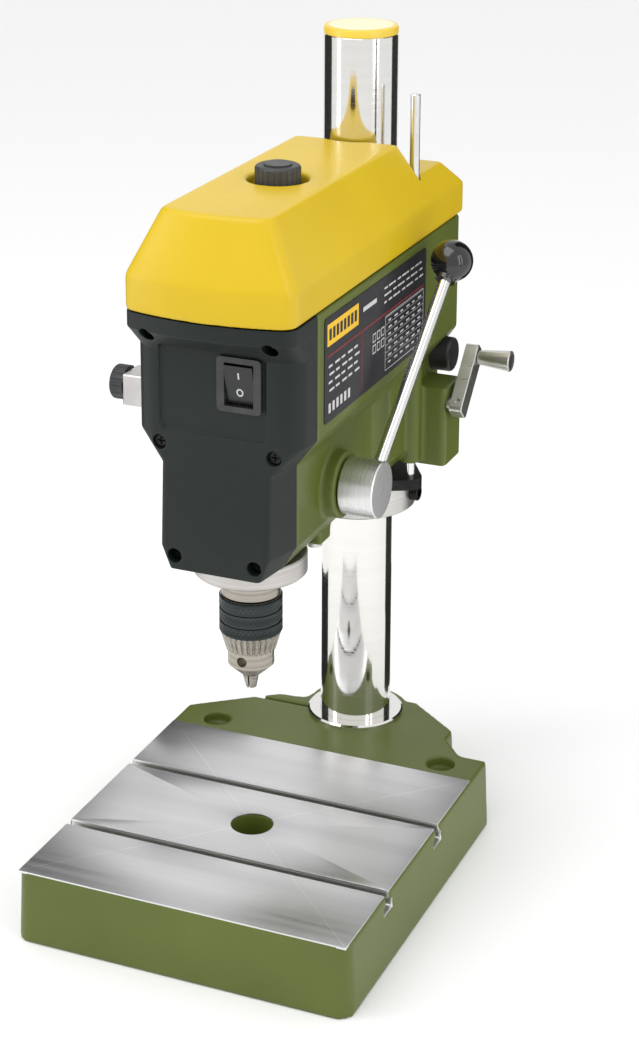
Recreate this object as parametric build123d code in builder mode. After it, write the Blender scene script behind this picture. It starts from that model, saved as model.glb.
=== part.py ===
from build123d import *
from math import pi, sin, cos, tan, acos, sqrt, radians, degrees
import os

os.makedirs("parts", exist_ok=True)

# Bench drill press. Millimetres, +Z up, +X to the machine's right, the operator stands at -Y.
# The origin is on the bench, midway between the two bench-bolt holes of the base.

# ---------------------------------------------------------------- driving dimensions
TABLE = 200.0  # milled work table, square
TABLE_TOP = 44.0  # height of the table above the bench
BENCH_BOLT_X = 76.0  # half the spacing of the bench-bolt holes
BENCH_BOLT_R = 4.5
THROAT = 162.5  # spindle axis to column axis
SPINDLE_Y = -114.5  # the spindle stands over the middle of the table
COLUMN_Y = SPINDLE_Y + THROAT
COLUMN_R = 22.5
COLUMN_TOP = 486.0  # end of the tube, below its cap
CLEAR = 0.05  # radial clearance of everything that slides or turns in a bore

HEAD_BOTTOM = 221.0  # underside of the head casting
DECK = 369.0  # split between the head casting and the belt cover
HEAD_HALF = 50.0  # half width of the upper head
WAIST_HALF = 38.0  # half width of the lower head
SHOULDER_Z = 298.0  # the wide part of the head ends here
WAIST_Z = 282.0  # and the narrow part begins here
COVER_FACE = -22.0  # front of the casting, measured from the spindle axis
HEAD_BACK = 209.0  # back of the casting, measured from the spindle axis
MOTOR_BACK = 88.0  # spindle axis to motor axis

QUILL_R = 17.5
QUILL_BOTTOM = 203.5
QUILL_TOP = 341.0
STROKE = 63.0  # travel of the quill
SPINDLE_R = 5.0

FEED_MODULE = 1.5
FEED_TEETH = 18
FEED_Z = 254.0  # height of the feed shaft
RACK_LINE = 15.2  # the quill rack's pitch line, behind the spindle axis
LIFT_MODULE = 1.0
LIFT_TEETH = 16
LIFT_Z = 261.0  # height of the crank shaft
ROD_X = 39.0  # rack rod beside the column
ROD_BACK = 151.5  # rack rod, measured from the spindle axis
ROD_R = 3.0
PRESSURE_ANGLE = 20.0
BACKLASH = 0.25

# pulley steps: radius on the spindle, radius on the motor, from the bottom step to the top one
STEPS = [(33.0, 13.0), (25.0, 21.0), (17.5, 28.5)]
STEP_HEIGHT = 8.0
PULLEY_BOTTOM = 370.5
GROOVE_DEPTH = 3.0

MOTOR_R = 32.0
PULLEY_BEARING_R = 15.0
STOP_ROD_R = 3.0
SCREW_GRIP = 4.0  # depth of the cover screws in the casting

FEED_PITCH_R = FEED_MODULE * FEED_TEETH / 2
LIFT_PITCH_R = LIFT_MODULE * LIFT_TEETH / 2
FEED_Y = SPINDLE_Y + RACK_LINE + FEED_PITCH_R
ROD_Y = SPINDLE_Y + ROD_BACK
LIFT_LINE_Y = ROD_Y + 1.5  # pitch line of the rack rod
LIFT_Y = LIFT_LINE_Y + LIFT_PITCH_R
MOTOR_Y = SPINDLE_Y + MOTOR_BACK
MOTOR_SCREWS = [(x, MOTOR_Y + y) for x in (-16, 16) for y in (-16, 16)]
KNOB_Y = SPINDLE_Y + 39.0  # knob that holds the belt cover
KNOB_POST_TOP = 404.0
STOP_ROD_X = -58.0
STOP_ROD_Y = SPINDLE_Y - 2
STOP_ARM = (302.0, 312.0)  # bottom and top of the arm that carries the depth stop
# screws of the front cover: distance from the middle and height
SCREWS = [(side * x, z) for x, z in ((36.0, 357.0), (34.0, 293.0), (24.0, 229.0)) for side in (-1, 1)]
CLAMP_Y = SPINDLE_Y + 195.0  # head clamp screw, behind the column
CLAMP_Z = 281.0
GLAND_X = -26.0
GLAND_Z = 330.0


# ---------------------------------------------------------------- helpers
def behind(distance):
    """Y of a point that lies this far behind the spindle axis."""
    return SPINDLE_Y + distance


def block(x, y, z, mode=Mode.ADD):
    """A box from three (low, high) pairs."""
    centre = ((x[0] + x[1]) / 2, (y[0] + y[1]) / 2, (z[0] + z[1]) / 2)
    with Locations(centre):
        Box(x[1] - x[0], y[1] - y[0], z[1] - z[0], mode=mode)


def upright(x, y, z, radius, mode=Mode.ADD):
    """A cylinder along Z from z[0] to z[1]."""
    with Locations((x, y, (z[0] + z[1]) / 2)):
        Cylinder(radius, z[1] - z[0], mode=mode)


def across(x, y, z, radius, mode=Mode.ADD):
    """A cylinder along X from x[0] to x[1]."""
    with Locations(((x[0] + x[1]) / 2, y, z)):
        Cylinder(radius, x[1] - x[0], rotation=(0, 90, 0), mode=mode)


def lengthwise(x, y, z, radius, mode=Mode.ADD):
    """A cylinder along Y from y[0] to y[1]."""
    with Locations((x, (y[0] + y[1]) / 2, z)):
        Cylinder(radius, y[1] - y[0], rotation=(90, 0, 0), mode=mode)


def turned(x, y, points):
    """A solid of revolution about the vertical axis through (x, y), from its (radius, z) outline."""
    with BuildSketch(Plane((x, y, 0), x_dir=(1, 0, 0), z_dir=(0, -1, 0))) as profile:
        with BuildLine():
            Polyline(*points, close=True)
        make_face()
    revolve(profile.sketch, axis=Axis((x, y, 0), (0, 0, 1)))


def turned_across(y, z, points):
    """A solid of revolution about the axis along X through (y, z), from its (x, radius) outline."""
    with BuildSketch(Plane((0, y, z), x_dir=(1, 0, 0), z_dir=(0, -1, 0))) as profile:
        with BuildLine():
            Polyline(*points, close=True)
        make_face()
    revolve(profile.sketch, axis=Axis((0, y, z), (1, 0, 0)))


def involute(angle):
    return tan(angle) - angle


def gear_points(module, teeth, first_angle):
    """Outline of a spur gear with one tooth centred on first_angle, in degrees."""
    pitch = module * teeth / 2
    base = pitch * cos(radians(PRESSURE_ANGLE))
    root = pitch - 1.25 * module
    radii = [root, max(base, root + 0.01), pitch - 0.4 * module, pitch, pitch + 0.5 * module,
        pitch + 0.95 * module]
    half_tooth = pi / (2 * teeth) - BACKLASH / (2 * pitch)
    flank = []
    for radius in radii:
        roll = involute(acos(base / radius)) if radius > base else 0.0
        flank.append((radius, half_tooth + involute(radians(PRESSURE_ANGLE)) - roll))
    points = []
    for tooth in range(teeth):
        centre = radians(first_angle) + 2 * pi * tooth / teeth
        points += [(r * cos(centre - half), r * sin(centre - half)) for r, half in flank]
        points += [(r * cos(centre + half), r * sin(centre + half)) for r, half in reversed(flank)]
    return points


def gear_across(x, y, z, module, teeth, first_angle):
    """A spur gear whose axis lies along X, between x[0] and x[1]."""
    with BuildSketch(Plane((x[0], y, z), x_dir=(0, 1, 0), z_dir=(1, 0, 0))) as profile:
        with BuildLine():
            Polyline(*gear_points(module, teeth, first_angle), close=True)
        make_face()
    extrude(profile.sketch, amount=x[1] - x[0])


def cut_rack(x, line_y, z, middle, module):
    """Cuts rack gaps, whose teeth face +Y, between z[0] and z[1]; one gap is centred on middle."""
    pitch = pi * module
    slope = tan(radians(PRESSURE_ANGLE))
    half_line = pitch / 4
    root, tip = -1.25 * module, 1.6 * module
    half_root, half_tip = half_line + root * slope, half_line + tip * slope
    gap = [
        (line_y + root, -half_root),
        (line_y + root, half_root),
        (line_y + tip, half_tip),
        (line_y + tip, -half_tip),
    ]
    first = int((z[0] - middle) / pitch)
    last = int((z[1] - middle) / pitch)
    with BuildSketch(Plane((x[0], 0, middle), x_dir=(0, 1, 0), z_dir=(1, 0, 0))) as profile:
        for step in range(first, last + 1):
            with BuildLine():
                Polyline(*[(y, dz + step * pitch) for y, dz in gap], close=True)
            make_face()
    extrude(profile.sketch, amount=x[1] - x[0], mode=Mode.SUBTRACT)


def save(piece, name):
    piece.part.label = name
    export_step(piece.part, f"parts/{name}.step")


# ================================================================ base and column
FRONT = SPINDLE_Y - 102
BACK_STEP = 16.0  # where the side walls end, just behind the bench-bolt holes

with BuildPart() as base_casting:
    with BuildSketch():
        with BuildLine():
            Polyline(
                (-103, FRONT),
                (103, FRONT),
                (103, BACK_STEP),
                (84, BACK_STEP),
                (70, 32),
                (70, 44),
                (34, 73),
                (-34, 73),
                (-36, 52),
                (-54, 50),
                (-72, 36),
                (-97, BACK_STEP),
                (-103, BACK_STEP - 5),
                close=True,
            )
        make_face()
        corners = vertices().group_by(Axis.Y)[0]
        fillet(corners, radius=10)
        with Locations((0, COLUMN_Y)):
            Circle(37)
        fillet(vertices().sort_by(Axis.Y)[2:-2], radius=4)
    extrude(amount=TABLE_TOP - 0.8, taper=2.5)
    with BuildSketch(Plane.XY.offset(TABLE_TOP - 0.8)) as table_pad:
        with Locations((0, SPINDLE_Y)):
            RectangleRounded(TABLE, TABLE, 1)
    extrude(amount=0.8)
    # hollow underside, open to the bench, inside 11 mm walls
    block((-92, 92), (FRONT + 11, SPINDLE_Y - 17), (-1, 28), Mode.SUBTRACT)
    block((-92, 92), (SPINDLE_Y + 17, -12), (-1, 28), Mode.SUBTRACT)
    for side in (-1, 1):
        block((side * 55 - 37, side * 55 + 37), (SPINDLE_Y - 13, SPINDLE_Y + 13), (-1, 28), Mode.SUBTRACT)
    block((-63, 63), (-7, 11), (-1, 28), Mode.SUBTRACT)
    # two T-slots along X, open at both sides
    for slot_y in (SPINDLE_Y - 40, SPINDLE_Y + 40):
        block((-110, 110), (slot_y - 3, slot_y + 3), (TABLE_TOP - 6, TABLE_TOP + 1), Mode.SUBTRACT)
        block((-110, 110), (slot_y - 6, slot_y + 6), (TABLE_TOP - 11, TABLE_TOP - 6), Mode.SUBTRACT)
    # hole under the spindle
    upright(0, SPINDLE_Y, (-1, TABLE_TOP + 1), 12.5, Mode.SUBTRACT)
    # column socket, split to the left
    upright(0, COLUMN_Y, (6, TABLE_TOP + 1), COLUMN_R + 0.02, Mode.SUBTRACT)
    block((-90, 0), (COLUMN_Y - 10, COLUMN_Y - 7), (-1, TABLE_TOP + 1), Mode.SUBTRACT)
    # bench-bolt holes with counterbores
    for side in (-1, 1):
        upright(side * BENCH_BOLT_X, 0, (-1, TABLE_TOP + 1), BENCH_BOLT_R, Mode.SUBTRACT)
        upright(side * BENCH_BOLT_X, 0, (TABLE_TOP - 8, TABLE_TOP + 1), 8.7, Mode.SUBTRACT)
    # two clamp-screw holes through the ear
    for screw_z in (14, 31):
        lengthwise(-42, (10, 60), screw_z, 3.05, Mode.SUBTRACT)
        lengthwise(-42, (COLUMN_Y - 3, 60), screw_z, 5.3, Mode.SUBTRACT)
save(base_casting, "base_casting")

with BuildPart() as column_clamp_screws:
    for screw_z in (14, 31):
        lengthwise(-42, (14, COLUMN_Y - 3), screw_z, 3.0)
        lengthwise(-42, (COLUMN_Y - 3, COLUMN_Y + 3), screw_z, 5.0)
        with BuildSketch(Plane((-42, COLUMN_Y + 3, screw_z), x_dir=(1, 0, 0), z_dir=(0, -1, 0))):
            RegularPolygon(2.9, 6)
        extrude(amount=3.2, mode=Mode.SUBTRACT)
save(column_clamp_screws, "column_clamp_screws")

with BuildPart() as column:
    upright(0, COLUMN_Y, (6, COLUMN_TOP), COLUMN_R)
    upright(0, COLUMN_Y, (6, COLUMN_TOP), COLUMN_R - 4, Mode.SUBTRACT)
    chamfer(edges().filter_by(GeomType.CIRCLE).group_by(Axis.Z)[-1], 0.5)
save(column, "column")

with BuildPart() as column_cap:
    turned(0, COLUMN_Y, [(0, COLUMN_TOP - 8), (18.4, COLUMN_TOP - 8), (18.4, COLUMN_TOP),
        (22.3, COLUMN_TOP),
                         (22.3, COLUMN_TOP + 3.6), (21.3, COLUMN_TOP + 4.8), (20, COLUMN_TOP + 5), (0,
                             COLUMN_TOP + 5)])
save(column_cap, "column_cap")

with BuildPart() as column_ring:
    turned(0, COLUMN_Y, [(COLUMN_R + 0.05, TABLE_TOP - 0.8), (30.5, TABLE_TOP - 0.8),
        (30.5, TABLE_TOP + 0.7),
                         (29.5, TABLE_TOP + 1.7), (COLUMN_R + 0.05, TABLE_TOP + 1.7)])
save(column_ring, "column_ring")

# ================================================================ collar and rack rod
COLLAR_BOTTOM = 189.0
COLLAR_TOP = 207.0
CARRIER_TOP = 214.0

with BuildPart() as column_collar:
    upright(0, COLUMN_Y, (COLLAR_BOTTOM, COLLAR_TOP), 36.5)
    chamfer(edges().filter_by(GeomType.CIRCLE), 0.8)
    upright(0, COLUMN_Y, (COLLAR_BOTTOM - 1, COLLAR_TOP + 1), COLUMN_R + CLEAR, Mode.SUBTRACT)
    across((20, 40), COLUMN_Y, COLLAR_TOP - 8, 3.0, Mode.SUBTRACT)
save(column_collar, "column_collar")

with BuildPart() as collar_screw:
    across((COLUMN_R + 0.3, 36.6), COLUMN_Y, COLLAR_TOP - 8, 3.0)
    across((36.6, 41.5), COLUMN_Y, COLLAR_TOP - 8, 5.0)
    chamfer(edges().filter_by(GeomType.CIRCLE).sort_by(Axis.X)[-1], 0.6)
    with BuildSketch(Plane((41.5, COLUMN_Y, COLLAR_TOP - 8), x_dir=(0, 1, 0), z_dir=(-1, 0, 0))):
        RegularPolygon(2.9, 6)
    extrude(amount=3, mode=Mode.SUBTRACT)
save(collar_screw, "collar_screw")

with BuildPart() as rack_carrier:
    with BuildSketch(Plane.XY.offset(COLLAR_TOP + 0.2)):
        with Locations((0, COLUMN_Y)):
            Circle(35)
        with Locations((ROD_X, ROD_Y)):
            Circle(7.5)
        make_hull()
        with Locations((0, COLUMN_Y)):
            Circle(COLUMN_R + CLEAR, mode=Mode.SUBTRACT)
    extrude(amount=CARRIER_TOP - COLLAR_TOP - 0.2)
    upright(ROD_X, ROD_Y, (COLLAR_TOP, CARRIER_TOP + 1), ROD_R, Mode.SUBTRACT)
save(rack_carrier, "rack_carrier")

ROD_TOP = 454.0
with BuildPart() as rack_rod:
    upright(ROD_X, ROD_Y, (COLLAR_TOP + 0.2, ROD_TOP), ROD_R)
    chamfer(edges().filter_by(GeomType.CIRCLE).group_by(Axis.Z)[-1], 0.5)
    block((ROD_X - 4, ROD_X + 4), (LIFT_LINE_Y + LIFT_MODULE, ROD_Y + 4), (250, 328), Mode.SUBTRACT)
    cut_rack((ROD_X - 4, ROD_X + 4), LIFT_LINE_Y, (252, 326), LIFT_Z, LIFT_MODULE)
save(rack_rod, "rack_rod")

# ================================================================ head casting
with BuildPart() as head_casting:
    # front part around the quill, and the wide upper part
    with BuildSketch(Plane((0, behind(COVER_FACE), 0), x_dir=(1, 0, 0), z_dir=(0, -1, 0))) as section:
        with BuildLine():
            Polyline((-30, HEAD_BOTTOM), (30, HEAD_BOTTOM), (WAIST_HALF, HEAD_BOTTOM + 13),
                (WAIST_HALF, WAIST_Z),
                     (HEAD_HALF, SHOULDER_Z), (HEAD_HALF, DECK), (-HEAD_HALF, DECK), (-HEAD_HALF,
                     SHOULDER_Z),
                     (-WAIST_HALF, WAIST_Z), (-WAIST_HALF, HEAD_BOTTOM + 13), close=True)
        make_face()
    extrude(amount=-(HEAD_BACK - COVER_FACE))
    fillet(edges().filter_by(Axis.Z).group_by(Axis.Y)[-1], radius=9)
    # the sides fall back between the quill and the column, up to the shoulder
    for side in (-1, 1):
        with BuildSketch(Plane.XY.offset(HEAD_BOTTOM - 1)):
            with Locations((side * 48, behind(97.5))):
                RectangleRounded(36, 43, 12)
        extrude(amount=WAIST_Z - HEAD_BOTTOM - 1, mode=Mode.SUBTRACT)
    # crank boss on the right, and the sleeve that the rack rod runs in
    with BuildSketch(Plane.XY.offset(HEAD_BOTTOM + 0.5)):
        with Locations((44, behind(169))):
            RectangleRounded(33, 29, 3)
    extrude(amount=50.5)
    upright(ROD_X, ROD_Y, (HEAD_BOTTOM + 3, SHOULDER_Z + 1), 6.5)
    # feed-shaft boss on the right, drum seat on the left
    across((WAIST_HALF - 2, 46.4), FEED_Y, FEED_Z, 19.5)
    across((-41, -WAIST_HALF + 2), FEED_Y, FEED_Z, 22)
    # lug that the depth stop comes down on
    with BuildSketch(Plane.XY.offset(HEAD_BOTTOM + 1)) as stop_lug:
        with Locations((STOP_ROD_X, STOP_ROD_Y)):
            Circle(6)
        with Locations((-35, SPINDLE_Y)):
            Rectangle(2, 22)
        make_hull()
    extrude(stop_lug.sketch, amount=12)
    # lug with the guide-play screw, under the front right
    block((17, 31), (behind(28), behind(44)), (HEAD_BOTTOM - 7, HEAD_BOTTOM + 2))

    # quill bore
    upright(0, SPINDLE_Y, (HEAD_BOTTOM - 1, QUILL_TOP + 2), QUILL_R + CLEAR, Mode.SUBTRACT)
    # motor room, open below as a vent
    with BuildSketch(Plane.XY.offset(SHOULDER_Z + 1)):
        with Locations((0, behind(81))):
            RectangleRounded(91, 106, 8)
    extrude(amount=DECK - 18 - SHOULDER_Z - 1, mode=Mode.SUBTRACT)
    upright(0, MOTOR_Y, (WAIST_Z + 3, DECK - 18), MOTOR_R + 2, Mode.SUBTRACT)
    upright(0, MOTOR_Y, (HEAD_BOTTOM - 1, WAIST_Z + 3), 24, Mode.SUBTRACT)
    # tray for the pulleys, with the deck that the motor hangs from
    with BuildSketch(Plane.XY.offset(DECK - 13)):
        with Locations((0, behind(52))):
            RectangleRounded(90, 138, 8)
    extrude(amount=14, mode=Mode.SUBTRACT)
    upright(0, MOTOR_Y, (DECK - 20, DECK), 12, Mode.SUBTRACT)
    # post that the belt cover's knob screws into
    upright(0, KNOB_Y, (DECK - 14, KNOB_POST_TOP), 4.4)
    upright(0, KNOB_Y, (KNOB_POST_TOP - 14, KNOB_POST_TOP + 1), 2.0 + CLEAR, Mode.SUBTRACT)
    # pockets beside and behind the column keep the walls even
    for side in (-1, 1):
        with BuildSketch(Plane.XY.offset(SHOULDER_Z + 2)):
            with Locations((side * 38, behind(187))):
                RectangleRounded(14, 32, 4)
        extrude(amount=DECK - SHOULDER_Z, mode=Mode.SUBTRACT)
    # column bore, split at the back
    upright(0, COLUMN_Y, (HEAD_BOTTOM - 1, DECK + 1), COLUMN_R + CLEAR, Mode.SUBTRACT)
    block((-1.5, 1.5), (COLUMN_Y, behind(HEAD_BACK) + 1), (HEAD_BOTTOM - 1, DECK + 1), Mode.SUBTRACT)
    # rack-rod bore
    upright(ROD_X, ROD_Y, (HEAD_BOTTOM - 1, DECK + 1), ROD_R + CLEAR, Mode.SUBTRACT)
    # feed shaft and pinion
    across((-45, 50), FEED_Y, FEED_Z, 6 + CLEAR, Mode.SUBTRACT)
    across((-8, 8), FEED_Y, FEED_Z, FEED_PITCH_R + FEED_MODULE + 0.8, Mode.SUBTRACT)
    # crank shaft and pinion
    across((28, 62), LIFT_Y, LIFT_Z, 4 + CLEAR, Mode.SUBTRACT)
    across((ROD_X - 5, ROD_X + 5), LIFT_Y, LIFT_Z, LIFT_PITCH_R + LIFT_MODULE + 0.6, Mode.SUBTRACT)
    # slot in the left wall, in which the stop arm travels with the quill
    block((-HEAD_HALF - 1, -QUILL_R + 2), (behind(-4.5), behind(4.5)),
        (STOP_ARM[0] - STROKE - 1, STOP_ARM[1] + 1),
          Mode.SUBTRACT)
    # motor screws, seat of the pulley bearing, head clamp screw, guide-play screw, gland
    for x, y in MOTOR_SCREWS:
        upright(x, y, (DECK - 19, DECK - 12), 2, Mode.SUBTRACT)
    upright(0, SPINDLE_Y, (DECK - 25, DECK - 12), PULLEY_BEARING_R, Mode.SUBTRACT)
    upright(0, SPINDLE_Y, (QUILL_TOP + 1, DECK - 24), 11, Mode.SUBTRACT)
    across((-44, 44), CLAMP_Y, CLAMP_Z, 4 + CLEAR, Mode.SUBTRACT)
    across((WAIST_HALF + 0.2, 60), CLAMP_Y, CLAMP_Z, 12, Mode.SUBTRACT)
    across((-60, -WAIST_HALF), CLAMP_Y, CLAMP_Z, 7.5, Mode.SUBTRACT)
    for x, z in SCREWS:
        lengthwise(x, (behind(COVER_FACE) - 1, behind(COVER_FACE + SCREW_GRIP)), z, 1.85, Mode.SUBTRACT)
    upright(24, behind(36), (HEAD_BOTTOM - 8, HEAD_BOTTOM + 10), 2.5, Mode.SUBTRACT)
    lengthwise(GLAND_X, (behind(HEAD_BACK - 30), behind(HEAD_BACK) + 1), GLAND_Z, 6, Mode.SUBTRACT)
save(head_casting, "head_casting")

# ================================================================ front cover, switch
COVER_BOTTOM = HEAD_BOTTOM
FACE_Y = -45.0  # the cover's front face, measured from the spindle axis
FLANGE_Y = -62.0  # front of the flange below the belt cover
WALL = 3.0


def cover_outline(half, front_half, front, corner, z, back=COVER_FACE - 0.1):
    """A sketch of the cover's outline at one height, narrower in front, with rounded front corners."""
    with BuildSketch(Plane.XY.offset(z)) as outline:
        with BuildLine():
            Polyline(
                (-half, behind(back)),
                (-front_half, behind(front)),
                (front_half, behind(front)),
                (half, behind(back)),
                close=True,
            )
        make_face()
        fillet(outline.vertices().group_by(Axis.Y)[0], radius=corner)
    return outline.sketch


def bowed_outline(half, front, shoulder, corner, z, back):
    """Like cover_outline, with a front edge that bows forward from the corners to its middle."""
    with BuildSketch(Plane.XY.offset(z)) as outline:
        with BuildLine():
            Line((half, behind(back)), (-half, behind(back)))
            Line((-half, behind(back)), (-half, behind(shoulder)))
            ThreePointArc((-half, behind(shoulder)), (0, behind(front)), (half, behind(shoulder)))
            Line((half, behind(shoulder)), (half, behind(back)))
        make_face()
        fillet(outline.vertices().group_by(Axis.Y)[0], radius=corner)
    return outline.sketch


SWITCH_X, SWITCH_Z = 14.0, 332.0

FACE_LEAN = 4.0  # the lower half of the front face comes forward by this much
CORNER = 14.0  # radius of the upper front corners
FACE_HALF = 32.0  # half width of the lower front face, between its two bevels

with BuildPart() as front_cover:
    shoulder = cover_outline(HEAD_HALF, HEAD_HALF, FACE_Y, CORNER, SHOULDER_Z)
    waist = cover_outline(WAIST_HALF, FACE_HALF, FACE_Y - 1, 3, WAIST_Z)
    hip = cover_outline(WAIST_HALF, FACE_HALF, FACE_Y - FACE_LEAN, 3, COVER_BOTTOM + 13)
    foot = cover_outline(30.5, 27, FACE_Y - FACE_LEAN, 3, COVER_BOTTOM)
    extrude(shoulder, amount=DECK - SHOULDER_Z)
    loft([waist, shoulder], ruled=True)
    loft([hip, waist], ruled=True)
    loft([foot, hip], ruled=True)
    # flange under the belt cover
    flange = bowed_outline(HEAD_HALF, FLANGE_Y, FLANGE_Y + 8, 9, DECK - 9, COVER_FACE - 0.1)
    extrude(flange, amount=9)
    under_flange = cover_outline(HEAD_HALF - 0.2, HEAD_HALF - 0.2, FACE_Y, CORNER, DECK - 22)
    flange_edge = bowed_outline(HEAD_HALF - 0.1, FLANGE_Y, FLANGE_Y + 8, 9, DECK - 9, COVER_FACE - 0.1)
    loft([under_flange, flange_edge], ruled=True)
    # hollow inside
    inner_half = HEAD_HALF - WALL
    upper_room = cover_outline(inner_half, inner_half, FACE_Y + WALL, CORNER - WALL, SHOULDER_Z,
        COVER_FACE + 1)
    extrude(upper_room, amount=DECK - WALL - SHOULDER_Z, mode=Mode.SUBTRACT)
    inner_half = WAIST_HALF - WALL - 1
    room_top = cover_outline(inner_half, 28, FACE_Y + WALL, 2, SHOULDER_Z + 0.1, COVER_FACE + 1)
    room_foot = cover_outline(inner_half, 28, FACE_Y - 1, 2, COVER_BOTTOM + 13, COVER_FACE + 1)
    loft([room_foot, room_top], ruled=True, mode=Mode.SUBTRACT)
    # bosses for the six screws
    for x, z in SCREWS:
        lengthwise(x, (behind(FACE_Y + 3), behind(COVER_FACE) - 0.1), z, 5.5)
    # sunk panel, and the switch opening in its right half
    with BuildSketch(Plane((-2, behind(FACE_Y), 326), x_dir=(1, 0, 0), z_dir=(0, -1, 0))) as panel:
        RectangleRounded(63, 50, 5)
    extrude(panel.sketch, amount=-1.6, mode=Mode.SUBTRACT)
    extrude(panel.sketch, amount=20, mode=Mode.SUBTRACT)
    block((SWITCH_X - 11, SWITCH_X + 11), (behind(FACE_Y) - 1, behind(FACE_Y) + 8),
        (SWITCH_Z - 14.5, SWITCH_Z + 14.5),
          Mode.SUBTRACT)
    for x, z in SCREWS:
        lengthwise(x, (behind(FLANGE_Y) - 2, behind(FACE_Y + 6)), z, 4.2, Mode.SUBTRACT)
        lengthwise(x, (behind(FLANGE_Y) - 2, behind(COVER_FACE)), z, 1.9, Mode.SUBTRACT)
save(front_cover, "front_cover")

with BuildPart() as cover_screws:
    for x, z in SCREWS:
        lengthwise(x, (behind(FACE_Y + 6), behind(COVER_FACE + SCREW_GRIP)), z, 1.8)
        lengthwise(x, (behind(FACE_Y + 2.6), behind(FACE_Y + 6)), z, 3.4)
        block((x - 2.2, x + 2.2), (behind(FACE_Y + 2.5), behind(FACE_Y + 4.2)), (z - 0.45, z + 0.45),
            Mode.SUBTRACT)
        block((x - 0.45, x + 0.45), (behind(FACE_Y + 2.5), behind(FACE_Y + 4.2)), (z - 2.2, z + 2.2),
            Mode.SUBTRACT)
save(cover_screws, "cover_screws")

SWITCH_FACE = behind(FACE_Y) + 1.6
with BuildPart() as switch_frame:
    with BuildSketch(Plane((SWITCH_X, SWITCH_FACE, SWITCH_Z), x_dir=(1, 0, 0), z_dir=(0, -1, 0))) as rim:
        RectangleRounded(26, 31, 2.5)
    extrude(rim.sketch, amount=2.2)
    block((SWITCH_X - 10.8, SWITCH_X + 10.8), (SWITCH_FACE, SWITCH_FACE + 14),
        (SWITCH_Z - 14.3, SWITCH_Z + 14.3))
    block((SWITCH_X - 8.6, SWITCH_X + 8.6), (SWITCH_FACE - 3, SWITCH_FACE + 11),
        (SWITCH_Z - 12.2, SWITCH_Z + 12.2),
          Mode.SUBTRACT)
    across((SWITCH_X - 10.8, SWITCH_X + 10.8), SWITCH_FACE + 1, SWITCH_Z, 1.5 + CLEAR, Mode.SUBTRACT)
save(switch_frame, "switch_frame")

with BuildPart() as switch_rocker:
    # side view of the rocker, resting in its off position: the lower end is pressed in
    with BuildSketch(Plane((SWITCH_X - 8.3, SWITCH_FACE + 1, SWITCH_Z), x_dir=(0, 1, 0),
            z_dir=(1, 0, 0))) as side_view:
        with BuildLine():
            Polyline((-4.4, 11.1), (0, -11.1), (3, -10.6), (6, 0), (0.5, 11.1), close=True)
        make_face()
    extrude(side_view.sketch, amount=16.6)
    across((SWITCH_X - 10.7, SWITCH_X + 10.7), SWITCH_FACE + 1, SWITCH_Z, 1.5)
save(switch_rocker, "switch_rocker")

# ================================================================ belt cover
BAND_TOP = DECK + 20.0
COVER_TOP = DECK + 56.5
ARM_TOP = DECK + 36.0
TOP_HALF = 32.5
TOP_BACK = 139.5
COVER_WALL = 3.0

NOSE = FLANGE_Y - 1  # the cover stands a little in front of the flange
TOP_NOSE = FLANGE_Y + 13

with BuildPart() as belt_cover:
    band_foot = bowed_outline(HEAD_HALF, NOSE, NOSE + 8, 9, DECK + 0.3, HEAD_BACK + 1)
    extrude(band_foot, amount=BAND_TOP - DECK - 0.3)
    roof_low = bowed_outline(HEAD_HALF, NOSE, NOSE + 8, 9, BAND_TOP, TOP_BACK + 18)
    roof_high = bowed_outline(TOP_HALF, TOP_NOSE, TOP_NOSE + 5, 8, COVER_TOP, TOP_BACK)
    loft([roof_low, roof_high], ruled=True)
    # arms beside the column
    with BuildSketch(Plane((0, 0, BAND_TOP))) as arms_low:
        with Locations((0, behind(176))):
            Rectangle(2 * HEAD_HALF, 68)
    with BuildSketch(Plane((0, 0, ARM_TOP))) as arms_high:
        with Locations((0, behind(168))):
            Rectangle(2 * HEAD_HALF - 16, 44)
    loft([arms_low.sketch, arms_high.sketch], ruled=True)
    gap = COLUMN_R + 3.5
    upright(0, COLUMN_Y, (DECK - 1, COVER_TOP + 1), gap, Mode.SUBTRACT)
    block((-gap, gap), (COLUMN_Y, behind(HEAD_BACK) + 5), (DECK - 1, COVER_TOP + 1), Mode.SUBTRACT)
    # hollow inside, open below
    inside, nose, back = HEAD_HALF - COVER_WALL, NOSE + COVER_WALL, TOP_BACK - COVER_WALL - 3
    extrude(bowed_outline(inside, nose, nose + 8, 7, DECK, back), amount=BAND_TOP - DECK,
        mode=Mode.SUBTRACT)
    room_low = bowed_outline(inside, nose, nose + 8, 7, BAND_TOP - 0.1, back)
    top_nose = TOP_NOSE + COVER_WALL
    room_high = bowed_outline(TOP_HALF - COVER_WALL, top_nose, top_nose + 5, 6, COVER_TOP - COVER_WALL,
        back)
    loft([room_low, room_high], ruled=True, mode=Mode.SUBTRACT)
    for side in (-1, 1):
        block((side * 36.5 - 8, side * 36.5 + 8), (behind(143), behind(204)), (DECK - 1, ARM_TOP - 12),
            Mode.SUBTRACT)
    # dished seat and hole for the knob, hole for the rack rod
    upright(0, KNOB_Y, (COVER_TOP - 12, COVER_TOP - 1.4), 20)
    upright(0, KNOB_Y, (COVER_TOP - 9, COVER_TOP + 1), 17.2, Mode.SUBTRACT)
    upright(0, KNOB_Y, (COVER_TOP - 20, COVER_TOP + 1), 2.6, Mode.SUBTRACT)
    upright(ROD_X, ROD_Y, (DECK - 1, COVER_TOP + 1), ROD_R + 0.6, Mode.SUBTRACT)
save(belt_cover, "belt_cover")

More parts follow.
